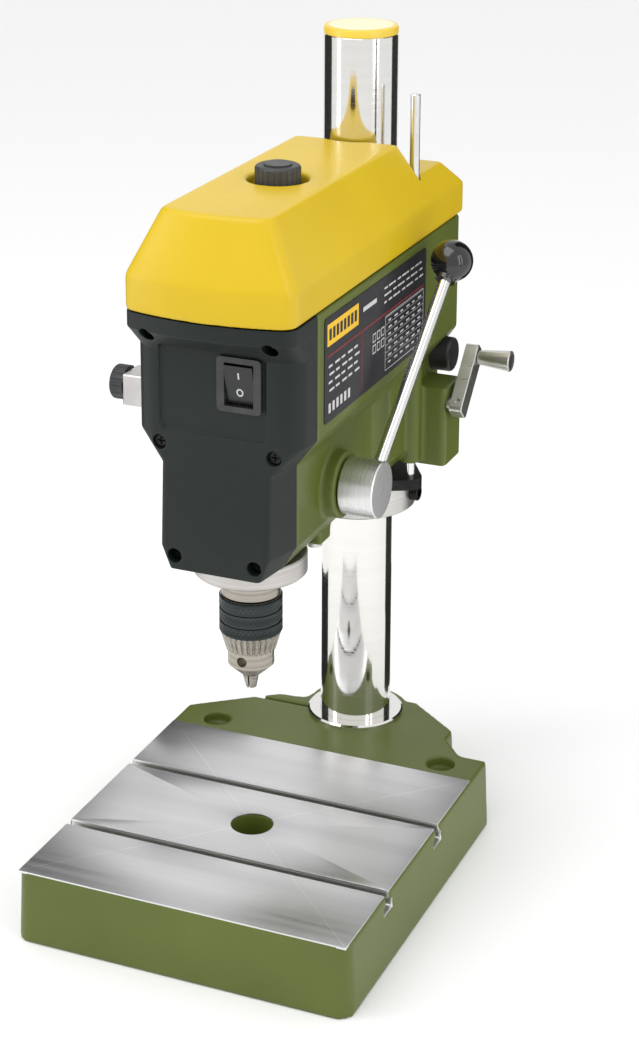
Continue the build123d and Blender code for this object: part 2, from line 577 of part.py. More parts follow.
with BuildPart() as belt_cover_knob:
    upright(0, KNOB_Y, (COVER_TOP - 8.7, COVER_TOP + 7.5), 13)
    fillet(belt_cover_knob.edges().group_by(Axis.Z)[-1], radius=2.0)
    upright(0, KNOB_Y, (COVER_TOP + 7.0, COVER_TOP + 8.5), 8)
    ribs = 24
    for rib in range(ribs):
        angle = 2 * pi * rib / ribs
        upright(13.2 * cos(angle), KNOB_Y + 13.2 * sin(angle), (COVER_TOP - 9, COVER_TOP + 9), 0.75,
            Mode.SUBTRACT)
    upright(0, KNOB_Y, (KNOB_POST_TOP - 12, COVER_TOP - 8.7), 2.0)
save(belt_cover_knob, "belt_cover_knob")

# ================================================================ quill, spindle and chuck
QUILL_RING = (206.0, 218.0)
BEARING_R = 13.0
CHUCK_TOP = 201.0
SLEEVE = (158.0, 191.7)
JAW_TIP = 133.0

with BuildPart() as quill:
    upright(0, SPINDLE_Y, (QUILL_BOTTOM, QUILL_TOP), QUILL_R)
    chamfer(edges().filter_by(GeomType.CIRCLE), 0.6)
    block((-8, 8), (behind(RACK_LINE + FEED_MODULE), behind(20)), (240, 330), Mode.SUBTRACT)
    cut_rack((-8, 8), behind(RACK_LINE), (244, 326), FEED_Z, FEED_MODULE)
    upright(0, SPINDLE_Y, (QUILL_BOTTOM - 1, QUILL_TOP + 1), SPINDLE_R + 3, Mode.SUBTRACT)
    upright(0, SPINDLE_Y, (QUILL_BOTTOM - 1, QUILL_BOTTOM + 9), BEARING_R, Mode.SUBTRACT)
    upright(0, SPINDLE_Y, (QUILL_TOP - 9, QUILL_TOP + 1), BEARING_R, Mode.SUBTRACT)
save(quill, "quill")

for name, bottom in (("quill_lower_bearing", QUILL_BOTTOM + 1), ("quill_upper_bearing", QUILL_TOP - 9)):
    with BuildPart() as bearing:
        turned(0, SPINDLE_Y, [(SPINDLE_R + CLEAR, bottom), (BEARING_R, bottom), (BEARING_R, bottom + 8),
                              (10.6, bottom + 8), (10.6, bottom + 7.4), (7.6, bottom + 7.4), (7.6,
                              bottom + 8),
                              (SPINDLE_R + CLEAR, bottom + 8)])
    save(bearing, name)

with BuildPart() as quill_ring:
    upright(0, SPINDLE_Y, QUILL_RING, 32.4)
    chamfer(edges().filter_by(GeomType.CIRCLE), 0.8)
    upright(0, SPINDLE_Y, (QUILL_RING[0] - 1, QUILL_RING[1] + 1), QUILL_R, Mode.SUBTRACT)
save(quill_ring, "quill_ring")

STOP_BLOCK = (STOP_ARM[0] - 4, STOP_ARM[1] + 4)
STOP_KNOB_Z = 308.0
with BuildPart() as stop_arm:
    block((-54, -15), (behind(-4), behind(4)), STOP_ARM)
    upright(0, SPINDLE_Y, (STOP_ARM[0] - 1, STOP_ARM[1] + 1), QUILL_R, Mode.SUBTRACT)
save(stop_arm, "stop_arm")

with BuildPart() as stop_block:
    block((-73.3, -51.2), (behind(-12), behind(7)), STOP_BLOCK)
    chamfer(edges(), 0.6)
    block((-54, -50), (behind(-4), behind(4)), STOP_ARM, Mode.SUBTRACT)
    upright(STOP_ROD_X, STOP_ROD_Y, (STOP_BLOCK[0] - 1, STOP_BLOCK[1] + 1), STOP_ROD_R + CLEAR,
        Mode.SUBTRACT)
    across((-75, STOP_ROD_X), STOP_ROD_Y, STOP_KNOB_Z, 2.5 + CLEAR, Mode.SUBTRACT)
save(stop_block, "stop_block")

with BuildPart() as stop_rod:
    upright(STOP_ROD_X, STOP_ROD_Y, (STOP_BLOCK[0], STOP_BLOCK[0] + 58), STOP_ROD_R)
    chamfer(edges().filter_by(GeomType.CIRCLE), 0.7)
save(stop_rod, "stop_rod")

with BuildPart() as stop_knob:
    across((-82.5, -73.9), STOP_ROD_Y, STOP_KNOB_Z, 10)
    fillet(edges().group_by(Axis.X)[0], radius=2)
    for rib in range(16):
        angle = 2 * pi * rib / 16
        across((-84, -73), STOP_ROD_Y + 10.3 * cos(angle), STOP_KNOB_Z + 10.3 * sin(angle), 1.0,
            Mode.SUBTRACT)
    across((-73.9, STOP_ROD_X - STOP_ROD_R - 0.3), STOP_ROD_Y, STOP_KNOB_Z, 2.5)
save(stop_knob, "stop_knob")

SPINDLE_TOP = 419.0
HEX_HALF = 4.3  # half the width across the flats of the spindle's drive end
with BuildPart() as spindle:
    upright(0, SPINDLE_Y, (176, QUILL_TOP + 1), SPINDLE_R)
    with BuildSketch(Plane((0, SPINDLE_Y, QUILL_TOP + 1))):
        RegularPolygon(HEX_HALF, 6, major_radius=False)
    extrude(amount=SPINDLE_TOP - QUILL_TOP - 1)
save(spindle, "spindle")

JAW_TILT = 15.0
JAW_R = 3.3
JAW_LENGTH = 30.0
JAW_CROSS = -0.49  # distance of a jaw's axis from the chuck's axis, at the tip


def jaw_axis_plane(angle):
    """Plane at the tip of one jaw, whose normal runs up along the jaw."""
    out = Vector(cos(radians(angle)), sin(radians(angle)), 0)
    tip = Vector(0, SPINDLE_Y, JAW_TIP) + out * JAW_CROSS
    up = Vector(0, 0, 1) * cos(radians(JAW_TILT)) + out * sin(radians(JAW_TILT))
    side = Vector(-sin(radians(angle)), cos(radians(angle)), 0)
    return Plane(tip, x_dir=side, z_dir=up)


JAW_ANGLES = [90, 210, 330]
with BuildPart() as chuck_body:
    turned(0, SPINDLE_Y, [(0, 141), (4.9, 141), (13.3, 148.6), (13.3, 191.9), (16.2, 191.9), (17, 192.7),
                          (17, CHUCK_TOP - 0.6), (16.4, CHUCK_TOP), (0, CHUCK_TOP)])
    upright(0, SPINDLE_Y, (176, CHUCK_TOP + 1), SPINDLE_R, Mode.SUBTRACT)
    upright(0, SPINDLE_Y, (140, 177), 3.0, Mode.SUBTRACT)
    for angle in JAW_ANGLES:
        with BuildSketch(jaw_axis_plane(angle)) as bore:
            Circle(JAW_R + CLEAR)
        extrude(bore.sketch, amount=JAW_LENGTH + 20, mode=Mode.SUBTRACT)
    # three holes for the pilot of the chuck key
    for angle in JAW_ANGLES:
        out = Vector(cos(radians(angle + 60)), sin(radians(angle + 60)), 0)
        with Locations(Plane((0, SPINDLE_Y, 153.5), x_dir=(0, 0, 1), z_dir=out)):
            with Locations((0, 0, 11)):
                Cylinder(3, 8, mode=Mode.SUBTRACT)
save(chuck_body, "chuck_body")

with BuildPart() as chuck_sleeve:
    turned(0, SPINDLE_Y, [(13.4, SLEEVE[0]), (14.2, SLEEVE[0]), (17.6, SLEEVE[0] + 11),
        (18.2, SLEEVE[0] + 11.4),
                          (18.2, SLEEVE[1] - 0.8), (17.4, SLEEVE[1]), (13.4, SLEEVE[1]), (13.4,
                          SLEEVE[1] - 1.5),
                          (16.2, SLEEVE[1] - 2.5), (16.2, SLEEVE[0] + 11), (13.4, SLEEVE[0] + 5)])
    # teeth for the chuck key, on a cone
    teeth, cone = 30, radians(17)
    for tooth in range(teeth):
        angle = 2 * pi * tooth / teeth
        along = Vector(-sin(angle), cos(angle), 0)
        out = Vector(cos(angle) * cos(cone), sin(angle) * cos(cone), -sin(cone))
        with Locations(Plane((0, SPINDLE_Y, SLEEVE[0] + 5.2), x_dir=along, z_dir=out)):
            with Locations((0, 0, 17.3)):
                Box(1.5, 12.5, 2.6, mode=Mode.SUBTRACT)
save(chuck_sleeve, "chuck_sleeve")

for number, angle in enumerate(JAW_ANGLES, start=1):
    with BuildPart() as jaw:
        with BuildSketch(jaw_axis_plane(angle)) as round_bar:
            Circle(JAW_R)
        extrude(round_bar.sketch, amount=JAW_LENGTH)
        extrude(round_bar.sketch, amount=-2)
        # each jaw keeps to its own third, and its tip is flat
        with BuildSketch(Plane((0, SPINDLE_Y, JAW_TIP))) as third:
            with BuildLine():
                far = 16
                Polyline((0.5 * cos(radians(angle)), 0.5 * sin(radians(angle))),
                         (far * cos(radians(angle - 58)), far * sin(radians(angle - 58))),
                         (far * cos(radians(angle)), far * sin(radians(angle))),
                         (far * cos(radians(angle + 58)), far * sin(radians(angle + 58))), close=True)
            make_face()
        extrude(third.sketch, amount=60, mode=Mode.INTERSECT)
    save(jaw, f"chuck_jaw_{number}")

# ================================================================ pulleys, belt and motor
def groove_outline(bore, steps, bottom, hub_bottom):
    """Half section of a stepped pulley: its radii from the bottom step up, each with one groove."""
    points = [(bore, hub_bottom), (bore + 4, hub_bottom), (bore + 4, bottom)]
    for step, radius in enumerate(steps):
        low = bottom + step * STEP_HEIGHT
        points += [(radius, low), (radius, low + 1), (radius - GROOVE_DEPTH, low + 2),
            (radius - GROOVE_DEPTH, low + 6),
                   (radius, low + 7), (radius, low + 8)]
    return points + [(bore, bottom + len(steps) * STEP_HEIGHT)]


with BuildPart() as spindle_pulley:
    turned(0, SPINDLE_Y, groove_outline(HEX_HALF + 0.8, [pair[0] for pair in STEPS], PULLEY_BOTTOM,
        QUILL_TOP + 3))
    upright(0, SPINDLE_Y, (QUILL_TOP + 2, PULLEY_BOTTOM + 25), 5.5)
    with BuildSketch(Plane((0, SPINDLE_Y, QUILL_TOP))) as hexagon:
        RegularPolygon(HEX_HALF + 0.15, 6, major_radius=False)
    extrude(hexagon.sketch, amount=80, mode=Mode.SUBTRACT)
save(spindle_pulley, "spindle_pulley")

PULLEY_HUB_R = HEX_HALF + 0.8 + 4
with BuildPart() as pulley_bearing:
    turned(0, SPINDLE_Y, [(PULLEY_HUB_R + CLEAR, DECK - 23), (PULLEY_BEARING_R, DECK - 23),
        (PULLEY_BEARING_R, DECK - 14),
                          (PULLEY_HUB_R + CLEAR, DECK - 14)])
save(pulley_bearing, "pulley_bearing")

with BuildPart() as motor_pulley:
    turned(0, MOTOR_Y, groove_outline(4, [pair[1] for pair in STEPS], PULLEY_BOTTOM, PULLEY_BOTTOM - 1))
save(motor_pulley, "motor_pulley")

with BuildPart() as motor_shaft:
    upright(0, MOTOR_Y, (WAIST_Z - 24, PULLEY_BOTTOM + 23), 4)
save(motor_shaft, "motor_shaft")

with BuildPart() as motor:
    upright(0, MOTOR_Y, (WAIST_Z + 5, DECK - 19), MOTOR_R)
    chamfer(edges().filter_by(GeomType.CIRCLE), 1.5)
    upright(0, MOTOR_Y, (WAIST_Z - 26, WAIST_Z + 5), 21)
    upright(0, MOTOR_Y, (DECK - 20, DECK - 15), 11)
    upright(0, MOTOR_Y, (WAIST_Z - 27, DECK), 4 + CLEAR, Mode.SUBTRACT)
    for x, y in MOTOR_SCREWS:
        upright(x, y, (DECK - 30, DECK - 18), 2, Mode.SUBTRACT)
save(motor, "motor")

with BuildPart() as motor_screws:
    for x, y in MOTOR_SCREWS:
        upright(x, y, (DECK - 29, DECK - 13), 2)
        upright(x, y, (DECK - 13, DECK - 10.5), 3.6)
        block((x - 2.6, x + 2.6), (y - 0.4, y + 0.4), (DECK - 11.5, DECK - 10), Mode.SUBTRACT)
save(motor_screws, "motor_screws")

BELT_STEP = 1
BELT_GAP = 0.3
BELT_LOW = PULLEY_BOTTOM + BELT_STEP * STEP_HEIGHT + 2.4
with BuildPart() as drive_belt:
    for grow, mode in ((3.4, Mode.ADD), (0, Mode.SUBTRACT)):
        with BuildSketch(Plane.XY.offset(BELT_LOW)) as loop:
            with Locations((0, SPINDLE_Y)):
                Circle(STEPS[BELT_STEP][0] - GROOVE_DEPTH + BELT_GAP + grow)
            with Locations((0, MOTOR_Y)):
                Circle(STEPS[BELT_STEP][1] - GROOVE_DEPTH + BELT_GAP + grow)
            make_hull()
        extrude(loop.sketch, amount=3.2, mode=mode)
save(drive_belt, "drive_belt")

# ================================================================ feed
HUB = (47.2, 68.2)
HUB_R = 16.4
LEVER_X = 61.0
LEVER_ANGLE = 47.5  # above the rear horizontal
LEVER_LENGTH = 147.0
LEVER_LEAN = 4.3  # the lever leans outwards by this angle
BALL_R = 12.5

with BuildPart() as feed_shaft:
    across((-52, HUB[1] - 4), FEED_Y, FEED_Z, 6)
    gear_across((-6, 6), FEED_Y, FEED_Z, FEED_MODULE, FEED_TEETH, 180)
save(feed_shaft, "feed_shaft")

with BuildPart() as feed_hub:
    across(HUB, FEED_Y, FEED_Z, HUB_R)
    chamfer(edges().filter_by(GeomType.CIRCLE), 0.7)
    across((HUB[0] - 1, HUB[1] - 4), FEED_Y, FEED_Z, 6, Mode.SUBTRACT)
    lever_dir = Vector(sin(radians(LEVER_LEAN)), cos(radians(LEVER_LEAN)) * cos(radians(LEVER_ANGLE)),
                       cos(radians(LEVER_LEAN)) * sin(radians(LEVER_ANGLE)))
    lever_foot = Vector(LEVER_X, FEED_Y, FEED_Z)
    lever_plane = Plane(lever_foot, x_dir=lever_dir.cross(Vector(0, 1, 0)), z_dir=lever_dir)
    with BuildSketch(lever_plane.offset(8)) as lever_seat:
        Circle(3.6)
    extrude(lever_seat.sketch, amount=20, mode=Mode.SUBTRACT)
save(feed_hub, "feed_hub")

with BuildPart() as lever_rod:
    with BuildSketch(lever_plane.offset(8)) as rod_section:
        Circle(3.6)
    extrude(rod_section.sketch, amount=LEVER_LENGTH - 8 - BALL_R + 8)
save(lever_rod, "lever_rod")

with BuildPart() as lever_ball:
    with Locations(lever_foot + lever_dir * LEVER_LENGTH):
        Sphere(BALL_R)
    with BuildSketch(lever_plane.offset(LEVER_LENGTH - BALL_R - 1)) as collar_section:
        Circle(6)
    extrude(collar_section.sketch, amount=6)
    extrude(rod_section.sketch, amount=LEVER_LENGTH - BALL_R, mode=Mode.SUBTRACT)
save(lever_ball, "lever_ball")

SPRING_R = 17.0
with BuildPart() as spring_drum:
    across((-55.5, -41), FEED_Y, FEED_Z, 21)
    fillet(edges().filter_by(GeomType.CIRCLE).group_by(Axis.X)[0], radius=3)
    across((-53, -40), FEED_Y, FEED_Z, 18.6, Mode.SUBTRACT)
save(spring_drum, "spring_drum")

def spiral_points(start, grow, turns, steps):
    """Points on an Archimedean spiral that starts at one radius and grows by another."""
    points = []
    for step in range(steps + 1):
        turn = 2 * pi * turns * step / steps
        reach = start + grow * step / steps
        points.append((reach * cos(turn), reach * sin(turn)))
    return points


with BuildPart() as return_spring:
    # spiral strip: a band between two Archimedean spirals
    inner = spiral_points(7.0, SPRING_R - 7.5, 4.5, 90)
    outer = spiral_points(7.9, SPRING_R - 7.5, 4.5, 90)
    with BuildSketch(Plane((-51, FEED_Y, FEED_Z), x_dir=(0, 1, 0), z_dir=(1, 0, 0))) as spiral:
        with BuildLine():
            Polyline(*inner, *reversed(outer), close=True)
        make_face()
    extrude(spiral.sketch, amount=7)
save(return_spring, "return_spring")

# ================================================================ crank
ARM_X = (63.0, 71.0)
ARM_ANGLE = 46.5
ARM_REACH = 33.5
HANDLE_X = (ARM_X[1] + 0.5, ARM_X[1] + 21)
arm_dir = Vector(0, cos(radians(ARM_ANGLE)), sin(radians(ARM_ANGLE)))
handle_at = Vector(0, LIFT_Y, LIFT_Z) + arm_dir * ARM_REACH

with BuildPart() as crank_shaft:
    across((29, ARM_X[1]), LIFT_Y, LIFT_Z, 4)
    gear_across((ROD_X - 3.5, ROD_X + 3.5), LIFT_Y, LIFT_Z, LIFT_MODULE, LIFT_TEETH, 180)
save(crank_shaft, "crank_shaft")

with BuildPart() as crank_arm:
    with BuildSketch(Plane((ARM_X[0], LIFT_Y, LIFT_Z), x_dir=(0, arm_dir.Y, arm_dir.Z),
            z_dir=(1, 0, 0))) as arm_outline:
        with Locations((ARM_REACH / 2, 0)):
            Rectangle(ARM_REACH + 13, 12.6)
        fillet(arm_outline.vertices(), radius=3)
    extrude(arm_outline.sketch, amount=ARM_X[1] - ARM_X[0])
    chamfer(edges().group_by(Axis.X)[-1], 0.5)
    across((ARM_X[0] - 1, ARM_X[1] + 1), LIFT_Y, LIFT_Z, 4, Mode.SUBTRACT)
    across((ARM_X[0] - 1, ARM_X[1] + 1), handle_at.Y, handle_at.Z, 2.5, Mode.SUBTRACT)
    with BuildSketch(Plane((67, LIFT_Y, LIFT_Z), x_dir=(1, 0, 0),
            z_dir=(0, -arm_dir.Z, arm_dir.Y))) as set_hole:
        Circle(2)
    extrude(set_hole.sketch, amount=10, mode=Mode.SUBTRACT)
save(crank_arm, "crank_arm")

with BuildPart() as crank_pin:
    across((ARM_X[0], HANDLE_X[1] - 3), handle_at.Y, handle_at.Z, 2.5)
save(crank_pin, "crank_pin")

with BuildPart() as crank_handle:
    turned_across(handle_at.Y, handle_at.Z, [(HANDLE_X[0], 2.5 + CLEAR), (HANDLE_X[0], 4.6),
        (HANDLE_X[1] - 0.6, 6.5),
                                             (HANDLE_X[1], 5.9), (HANDLE_X[1], 4.6), (HANDLE_X[1] - 2.5,
                                             4.6),
                                             (HANDLE_X[1] - 2.5, 2.5 + CLEAR)])
save(crank_handle, "crank_handle")

with BuildPart() as handle_plug:
    across((HANDLE_X[1] - 2.4, HANDLE_X[1] - 0.3), handle_at.Y, handle_at.Z, 4.6)
save(handle_plug, "handle_plug")

# ================================================================ clamps, label, gland
with BuildPart() as head_clamp_screw:
    across((-38, 44), CLAMP_Y, CLAMP_Z, 4)
    across((-44, -38), CLAMP_Y, CLAMP_Z, 6.5)
save(head_clamp_screw, "head_clamp_screw")

with BuildPart() as head_clamp_knob:
    across((38.3, 51), CLAMP_Y, CLAMP_Z, 10.8)
    fillet(edges().filter_by(GeomType.CIRCLE).group_by(Axis.X)[-1], radius=2)
    across((38, 44), CLAMP_Y, CLAMP_Z, 4, Mode.SUBTRACT)
save(head_clamp_knob, "head_clamp_knob")

with BuildPart() as guide_screw:
    upright(24, behind(36), (HEAD_BOTTOM - 7.2, HEAD_BOTTOM + 8), 2.5)
    upright(24, behind(36), (HEAD_BOTTOM - 10.5, HEAD_BOTTOM - 7.2), 4.4)
    block((19, 29), (behind(36) - 0.6, behind(36) + 0.6), (HEAD_BOTTOM - 11, HEAD_BOTTOM - 9.3),
        Mode.SUBTRACT)
save(guide_screw, "guide_screw")

with BuildPart() as label_plate:
    with BuildSketch(Plane((HEAD_HALF, behind(64.5), 334), x_dir=(0, 1, 0),
            z_dir=(1, 0, 0))) as label_outline:
        RectangleRounded(156, 60, 2)
    extrude(label_outline.sketch, amount=0.5)
save(label_plate, "label_plate")

with BuildPart() as cable_gland:
    lengthwise(GLAND_X, (behind(HEAD_BACK - 6), behind(HEAD_BACK)), GLAND_Z, 6)
    with BuildSketch(Plane((GLAND_X, behind(HEAD_BACK), GLAND_Z), x_dir=(1, 0, 0),
            z_dir=(0, 1, 0))) as gland_flange:
        RegularPolygon(9, 6)
    extrude(gland_flange.sketch, amount=4)
    lengthwise(GLAND_X, (behind(HEAD_BACK) + 4, behind(HEAD_BACK) + 13), GLAND_Z, 6.2)
    lengthwise(GLAND_X, (behind(HEAD_BACK - 7), behind(HEAD_BACK) + 14), GLAND_Z, 3.2, Mode.SUBTRACT)
save(cable_gland, "cable_gland")
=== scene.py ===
# %% [markdown]
# # A bench drill press, dressed over its working frame
# The engineering model is already here: every piece at its real size, sorted into the bodies that move.
# This lesson gives each piece the look of the real thing: cast metal under olive paint, a glossy yellow
# cover, polished steel, a knurled chuck. Nothing in it moves or resizes the working model.

# %% Load the working frame
from math import cos, pi, radians, sin

import bpy
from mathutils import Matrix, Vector


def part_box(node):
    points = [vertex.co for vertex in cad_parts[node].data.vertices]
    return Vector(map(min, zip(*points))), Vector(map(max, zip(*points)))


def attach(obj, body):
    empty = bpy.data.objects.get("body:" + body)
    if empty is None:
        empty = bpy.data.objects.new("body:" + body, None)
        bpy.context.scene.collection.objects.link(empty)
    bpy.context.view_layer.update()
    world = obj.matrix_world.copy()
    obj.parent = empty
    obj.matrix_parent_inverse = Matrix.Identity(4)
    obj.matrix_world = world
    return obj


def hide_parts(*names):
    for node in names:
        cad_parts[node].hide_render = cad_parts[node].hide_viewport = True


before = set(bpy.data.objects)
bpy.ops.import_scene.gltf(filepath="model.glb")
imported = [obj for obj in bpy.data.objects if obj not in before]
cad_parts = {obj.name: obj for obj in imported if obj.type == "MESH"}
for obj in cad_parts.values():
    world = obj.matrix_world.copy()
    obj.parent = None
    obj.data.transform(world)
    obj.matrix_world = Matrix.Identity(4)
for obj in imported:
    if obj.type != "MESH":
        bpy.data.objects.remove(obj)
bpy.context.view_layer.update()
MM = 0.001
scene = bpy.context.scene

# %% [markdown]
# ## Measures that come from the frame
# A dresser needs a few axes and heights. They are read from the pieces themselves, so a change in the
# working model carries over to the look.


# %% Axes and heights
def centre_of(node):
    """Middle of a piece's box."""
    low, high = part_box(node)
    return (low + high) / 2


SPINDLE = centre_of("spindle")
COLUMN = centre_of("column")
FEED = centre_of("feed_hub")
TABLE_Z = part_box("base_casting")[1].z
TABLE_HALF = 100 * MM
print("spindle axis", SPINDLE.xy, "column axis", COLUMN.xy, "table height", TABLE_Z)

# %% [markdown]
# ## Surface effects as node groups
# Orange peel in paint, the marks of a milling cutter and the rings of a lathe appear on many pieces.
# Each effect is a group built once. It takes sizes as inputs and gives out only heights, tones and masks,
# so that every material can mix them in its own way.


# %% Helpers for node groups
def new_group(name, inputs, outputs):
    """An empty shader group with its sockets; gives the group and its two end nodes."""
    group = bpy.data.node_groups.new(name, "ShaderNodeTree")
    for label, kind, value in inputs:
        socket = group.interface.new_socket(label, in_out="INPUT", socket_type=kind)
        socket.default_value = value
    for label in outputs:
        group.interface.new_socket(label, in_out="OUTPUT", socket_type="NodeSocketFloat")
    return group, group.nodes.new("NodeGroupInput"), group.nodes.new("NodeGroupOutput")


def math_node(tree, operation, *values, clamp=False):
    """A Math node; each value is a number or a socket to join."""
    node = tree.nodes.new("ShaderNodeMath")
    node.operation = operation
    node.use_clamp = clamp
    for slot, value in enumerate(values):
        if isinstance(value, (int, float)):
            node.inputs[slot].default_value = value
        else:
            tree.links.new(value, node.inputs[slot])
    return node.outputs[0]


def vector_node(tree, operation, *values):
    """A Vector Math node; each value is a triple or a socket to join."""
    node = tree.nodes.new("ShaderNodeVectorMath")
    node.operation = operation
    for slot, value in enumerate(values):
        if isinstance(value, tuple):
            node.inputs[slot].default_value = value
        else:
            tree.links.new(value, node.inputs[slot])
    return node


def noise(tree, vector, scale, detail=2.0):
    """A Noise Texture over a vector; scale is a number or a socket."""
    node = tree.nodes.new("ShaderNodeTexNoise")
    tree.links.new(vector, node.inputs["Vector"])
    if isinstance(scale, (int, float)):
        node.inputs["Scale"].default_value = scale
    else:
        tree.links.new(scale, node.inputs["Scale"])
    node.inputs["Detail"].default_value = detail
    return node.outputs["Fac"]


def place(tree):
    """Coordinates in metres, the same for every piece, because each sits at the origin."""
    return tree.nodes.new("ShaderNodeTexCoord").outputs["Object"]


# %% Paint skin: fine orange peel and slow changes of tone
paint_skin, skin_in, skin_out = new_group(
    "paint_skin", [("Grain", "NodeSocketFloat", 900.0), ("Drift", "NodeSocketFloat", 14.0)],
    ["Height", "Tone"])
skin_place = place(paint_skin)
paint_skin.links.new(noise(paint_skin, skin_place, skin_in.outputs["Grain"]), skin_out.inputs["Height"])
paint_skin.links.new(noise(paint_skin, skin_place, skin_in.outputs["Drift"], 4.0), skin_out.inputs["Tone"])
print("group", paint_skin.name)

# %% Cutter marks: noise drawn out along one direction
cutter_marks, marks_in, marks_out = new_group(
    "cutter_marks", [("Stretch", "NodeSocketVector", (20.0, 900.0, 900.0))], ["Height", "Tone"])
drawn_out = vector_node(cutter_marks, "MULTIPLY", place(cutter_marks), marks_in.outputs["Stretch"]).outputs[0]
cutter_marks.links.new(noise(cutter_marks, drawn_out, 1.0, 5.0), marks_out.inputs["Height"])
cutter_marks.links.new(noise(cutter_marks, drawn_out, 0.12, 3.0), marks_out.inputs["Tone"])
print("group", cutter_marks.name)

# %% Lathe rings: noise that depends only on the distance from an axis and the place along it
lathe_rings, rings_in, rings_out = new_group(
    "lathe_rings",
    [("Centre", "NodeSocketVector", (0.0, 0.0, 0.0)), ("Across", "NodeSocketVector", (1.0, 1.0, 0.0)),
     ("Along", "NodeSocketVector", (0.0, 0.0, 1.0)), ("Fineness", "NodeSocketFloat", 2500.0)],
    ["Height", "Tone"])
from_centre = vector_node(lathe_rings, "SUBTRACT", place(lathe_rings), rings_in.outputs["Centre"]).outputs[0]
flat = vector_node(lathe_rings, "MULTIPLY", from_centre, rings_in.outputs["Across"]).outputs[0]
radius = vector_node(lathe_rings, "LENGTH", flat).outputs["Value"]
along = vector_node(lathe_rings, "DOT_PRODUCT", from_centre, rings_in.outputs["Along"]).outputs["Value"]
track = math_node(lathe_rings, "MULTIPLY", math_node(lathe_rings, "ADD", radius, along),
                  rings_in.outputs["Fineness"])
for label, share, detail in (("Height", 1.0, 3.0), ("Tone", 0.17, 2.0)):
    ring_noise = lathe_rings.nodes.new("ShaderNodeTexNoise")
    ring_noise.noise_dimensions = "1D"
    ring_noise.inputs["Scale"].default_value = share
    ring_noise.inputs["Detail"].default_value = detail
    lathe_rings.links.new(track, ring_noise.inputs["W"])
    lathe_rings.links.new(ring_noise.outputs["Fac"], rings_out.inputs[label])
print("group", lathe_rings.name)

# %% Box mask: one inside a box, zero outside, for places where a cutter took the paint off
box_mask, mask_in, mask_out = new_group(
    "box_mask",
    [("Centre", "NodeSocketVector", (0.0, 0.0, 0.0)), ("Half", "NodeSocketVector", (1.0, 1.0, 1.0))],
    ["Mask"])
off_centre = vector_node(box_mask, "SUBTRACT", place(box_mask), mask_in.outputs["Centre"]).outputs[0]
spread = vector_node(box_mask, "ABSOLUTE", off_centre).outputs[0]
room = vector_node(box_mask, "SUBTRACT", mask_in.outputs["Half"], spread).outputs[0]
split = box_mask.nodes.new("ShaderNodeSeparateXYZ")
box_mask.links.new(room, split.inputs[0])
inside = [math_node(box_mask, "GREATER_THAN", split.outputs[side], 0.0) for side in "XYZ"]
both = math_node(box_mask, "MULTIPLY", inside[0], inside[1])
box_mask.links.new(math_node(box_mask, "MULTIPLY", both, inside[2]), mask_out.inputs["Mask"])
print("group", box_mask.name)

# %% Painted edge highlight: a lighter colour on sharp outer edges stands in for light catching them, broken up by noise
painted_edge_highlight, highlight_in, highlight_out = new_group(
    "painted_edge_highlight", [("Start", "NodeSocketFloat", 0.53), ("Full", "NodeSocketFloat", 0.62)], ["Mask"])
pointed = painted_edge_highlight.nodes.new("ShaderNodeNewGeometry").outputs["Pointiness"]
ramp = painted_edge_highlight.nodes.new("ShaderNodeMapRange")
painted_edge_highlight.links.new(pointed, ramp.inputs["Value"])
painted_edge_highlight.links.new(highlight_in.outputs["Start"], ramp.inputs["From Min"])
painted_edge_highlight.links.new(highlight_in.outputs["Full"], ramp.inputs["From Max"])
# painted highlight: the lighter colour goes where edges are sharp, as if light caught them
painted_glint = math_node(painted_edge_highlight, "MULTIPLY", ramp.outputs[0], noise(painted_edge_highlight, place(painted_edge_highlight), 160.0, 4.0))
painted_edge_highlight.links.new(painted_glint, highlight_out.inputs["Mask"])
print("group", painted_edge_highlight.name)

# %% [markdown]
# ## Finishes
# Three makers' finishes cover almost all of the machine: paint or moulding, cut metal and turned metal.
# Each has one function that places the groups, and the colours and roughness are handed in per piece.


# %% Helpers for materials
def new_material(name):
    """A material with its Principled shader; gives the material, its tree and the shader."""
    material = bpy.data.materials.new(name)
    material.use_nodes = True
    return material, material.node_tree, material.node_tree.nodes["Principled BSDF"]


def use_group(tree, group, **values):
    """Places a group in a material and sets its sockets by name."""
    node = tree.nodes.new("ShaderNodeGroup")
    node.node_tree = group
    for label, value in values.items():
        node.inputs[label].default_value = value
    return node


def blend_colours(tree, factor, low, high):
    """Mix of two colours; low and high are triples or sockets."""
    node = tree.nodes.new("ShaderNodeMix")
    node.data_type = "RGBA"
    tree.links.new(factor, node.inputs["Factor"])
    for slot, colour in ((6, low), (7, high)):
        if isinstance(colour, tuple):
            node.inputs[slot].default_value = (*colour, 1.0)
        else:
            tree.links.new(colour, node.inputs[slot])
    return node.outputs[2]


def spread_value(tree, factor, low, high):
    """Turns a 0.3..0.7 noise into the range low..high."""
    node = tree.nodes.new("ShaderNodeMapRange")
    tree.links.new(factor, node.inputs["Value"])
    node.inputs["From Min"].default_value = 0.3
    node.inputs["From Max"].default_value = 0.7
    node.inputs["To Min"].default_value = low
    node.inputs["To Max"].default_value = high
    return node.outputs[0]


def add_bump(tree, shader, height, distance, strength=1.0):
    node = tree.nodes.new("ShaderNodeBump")
    node.inputs["Strength"].default_value = strength
    node.inputs["Distance"].default_value = distance
    tree.links.new(height, node.inputs["Height"])
    tree.links.new(node.outputs[0], shader.inputs["Normal"])


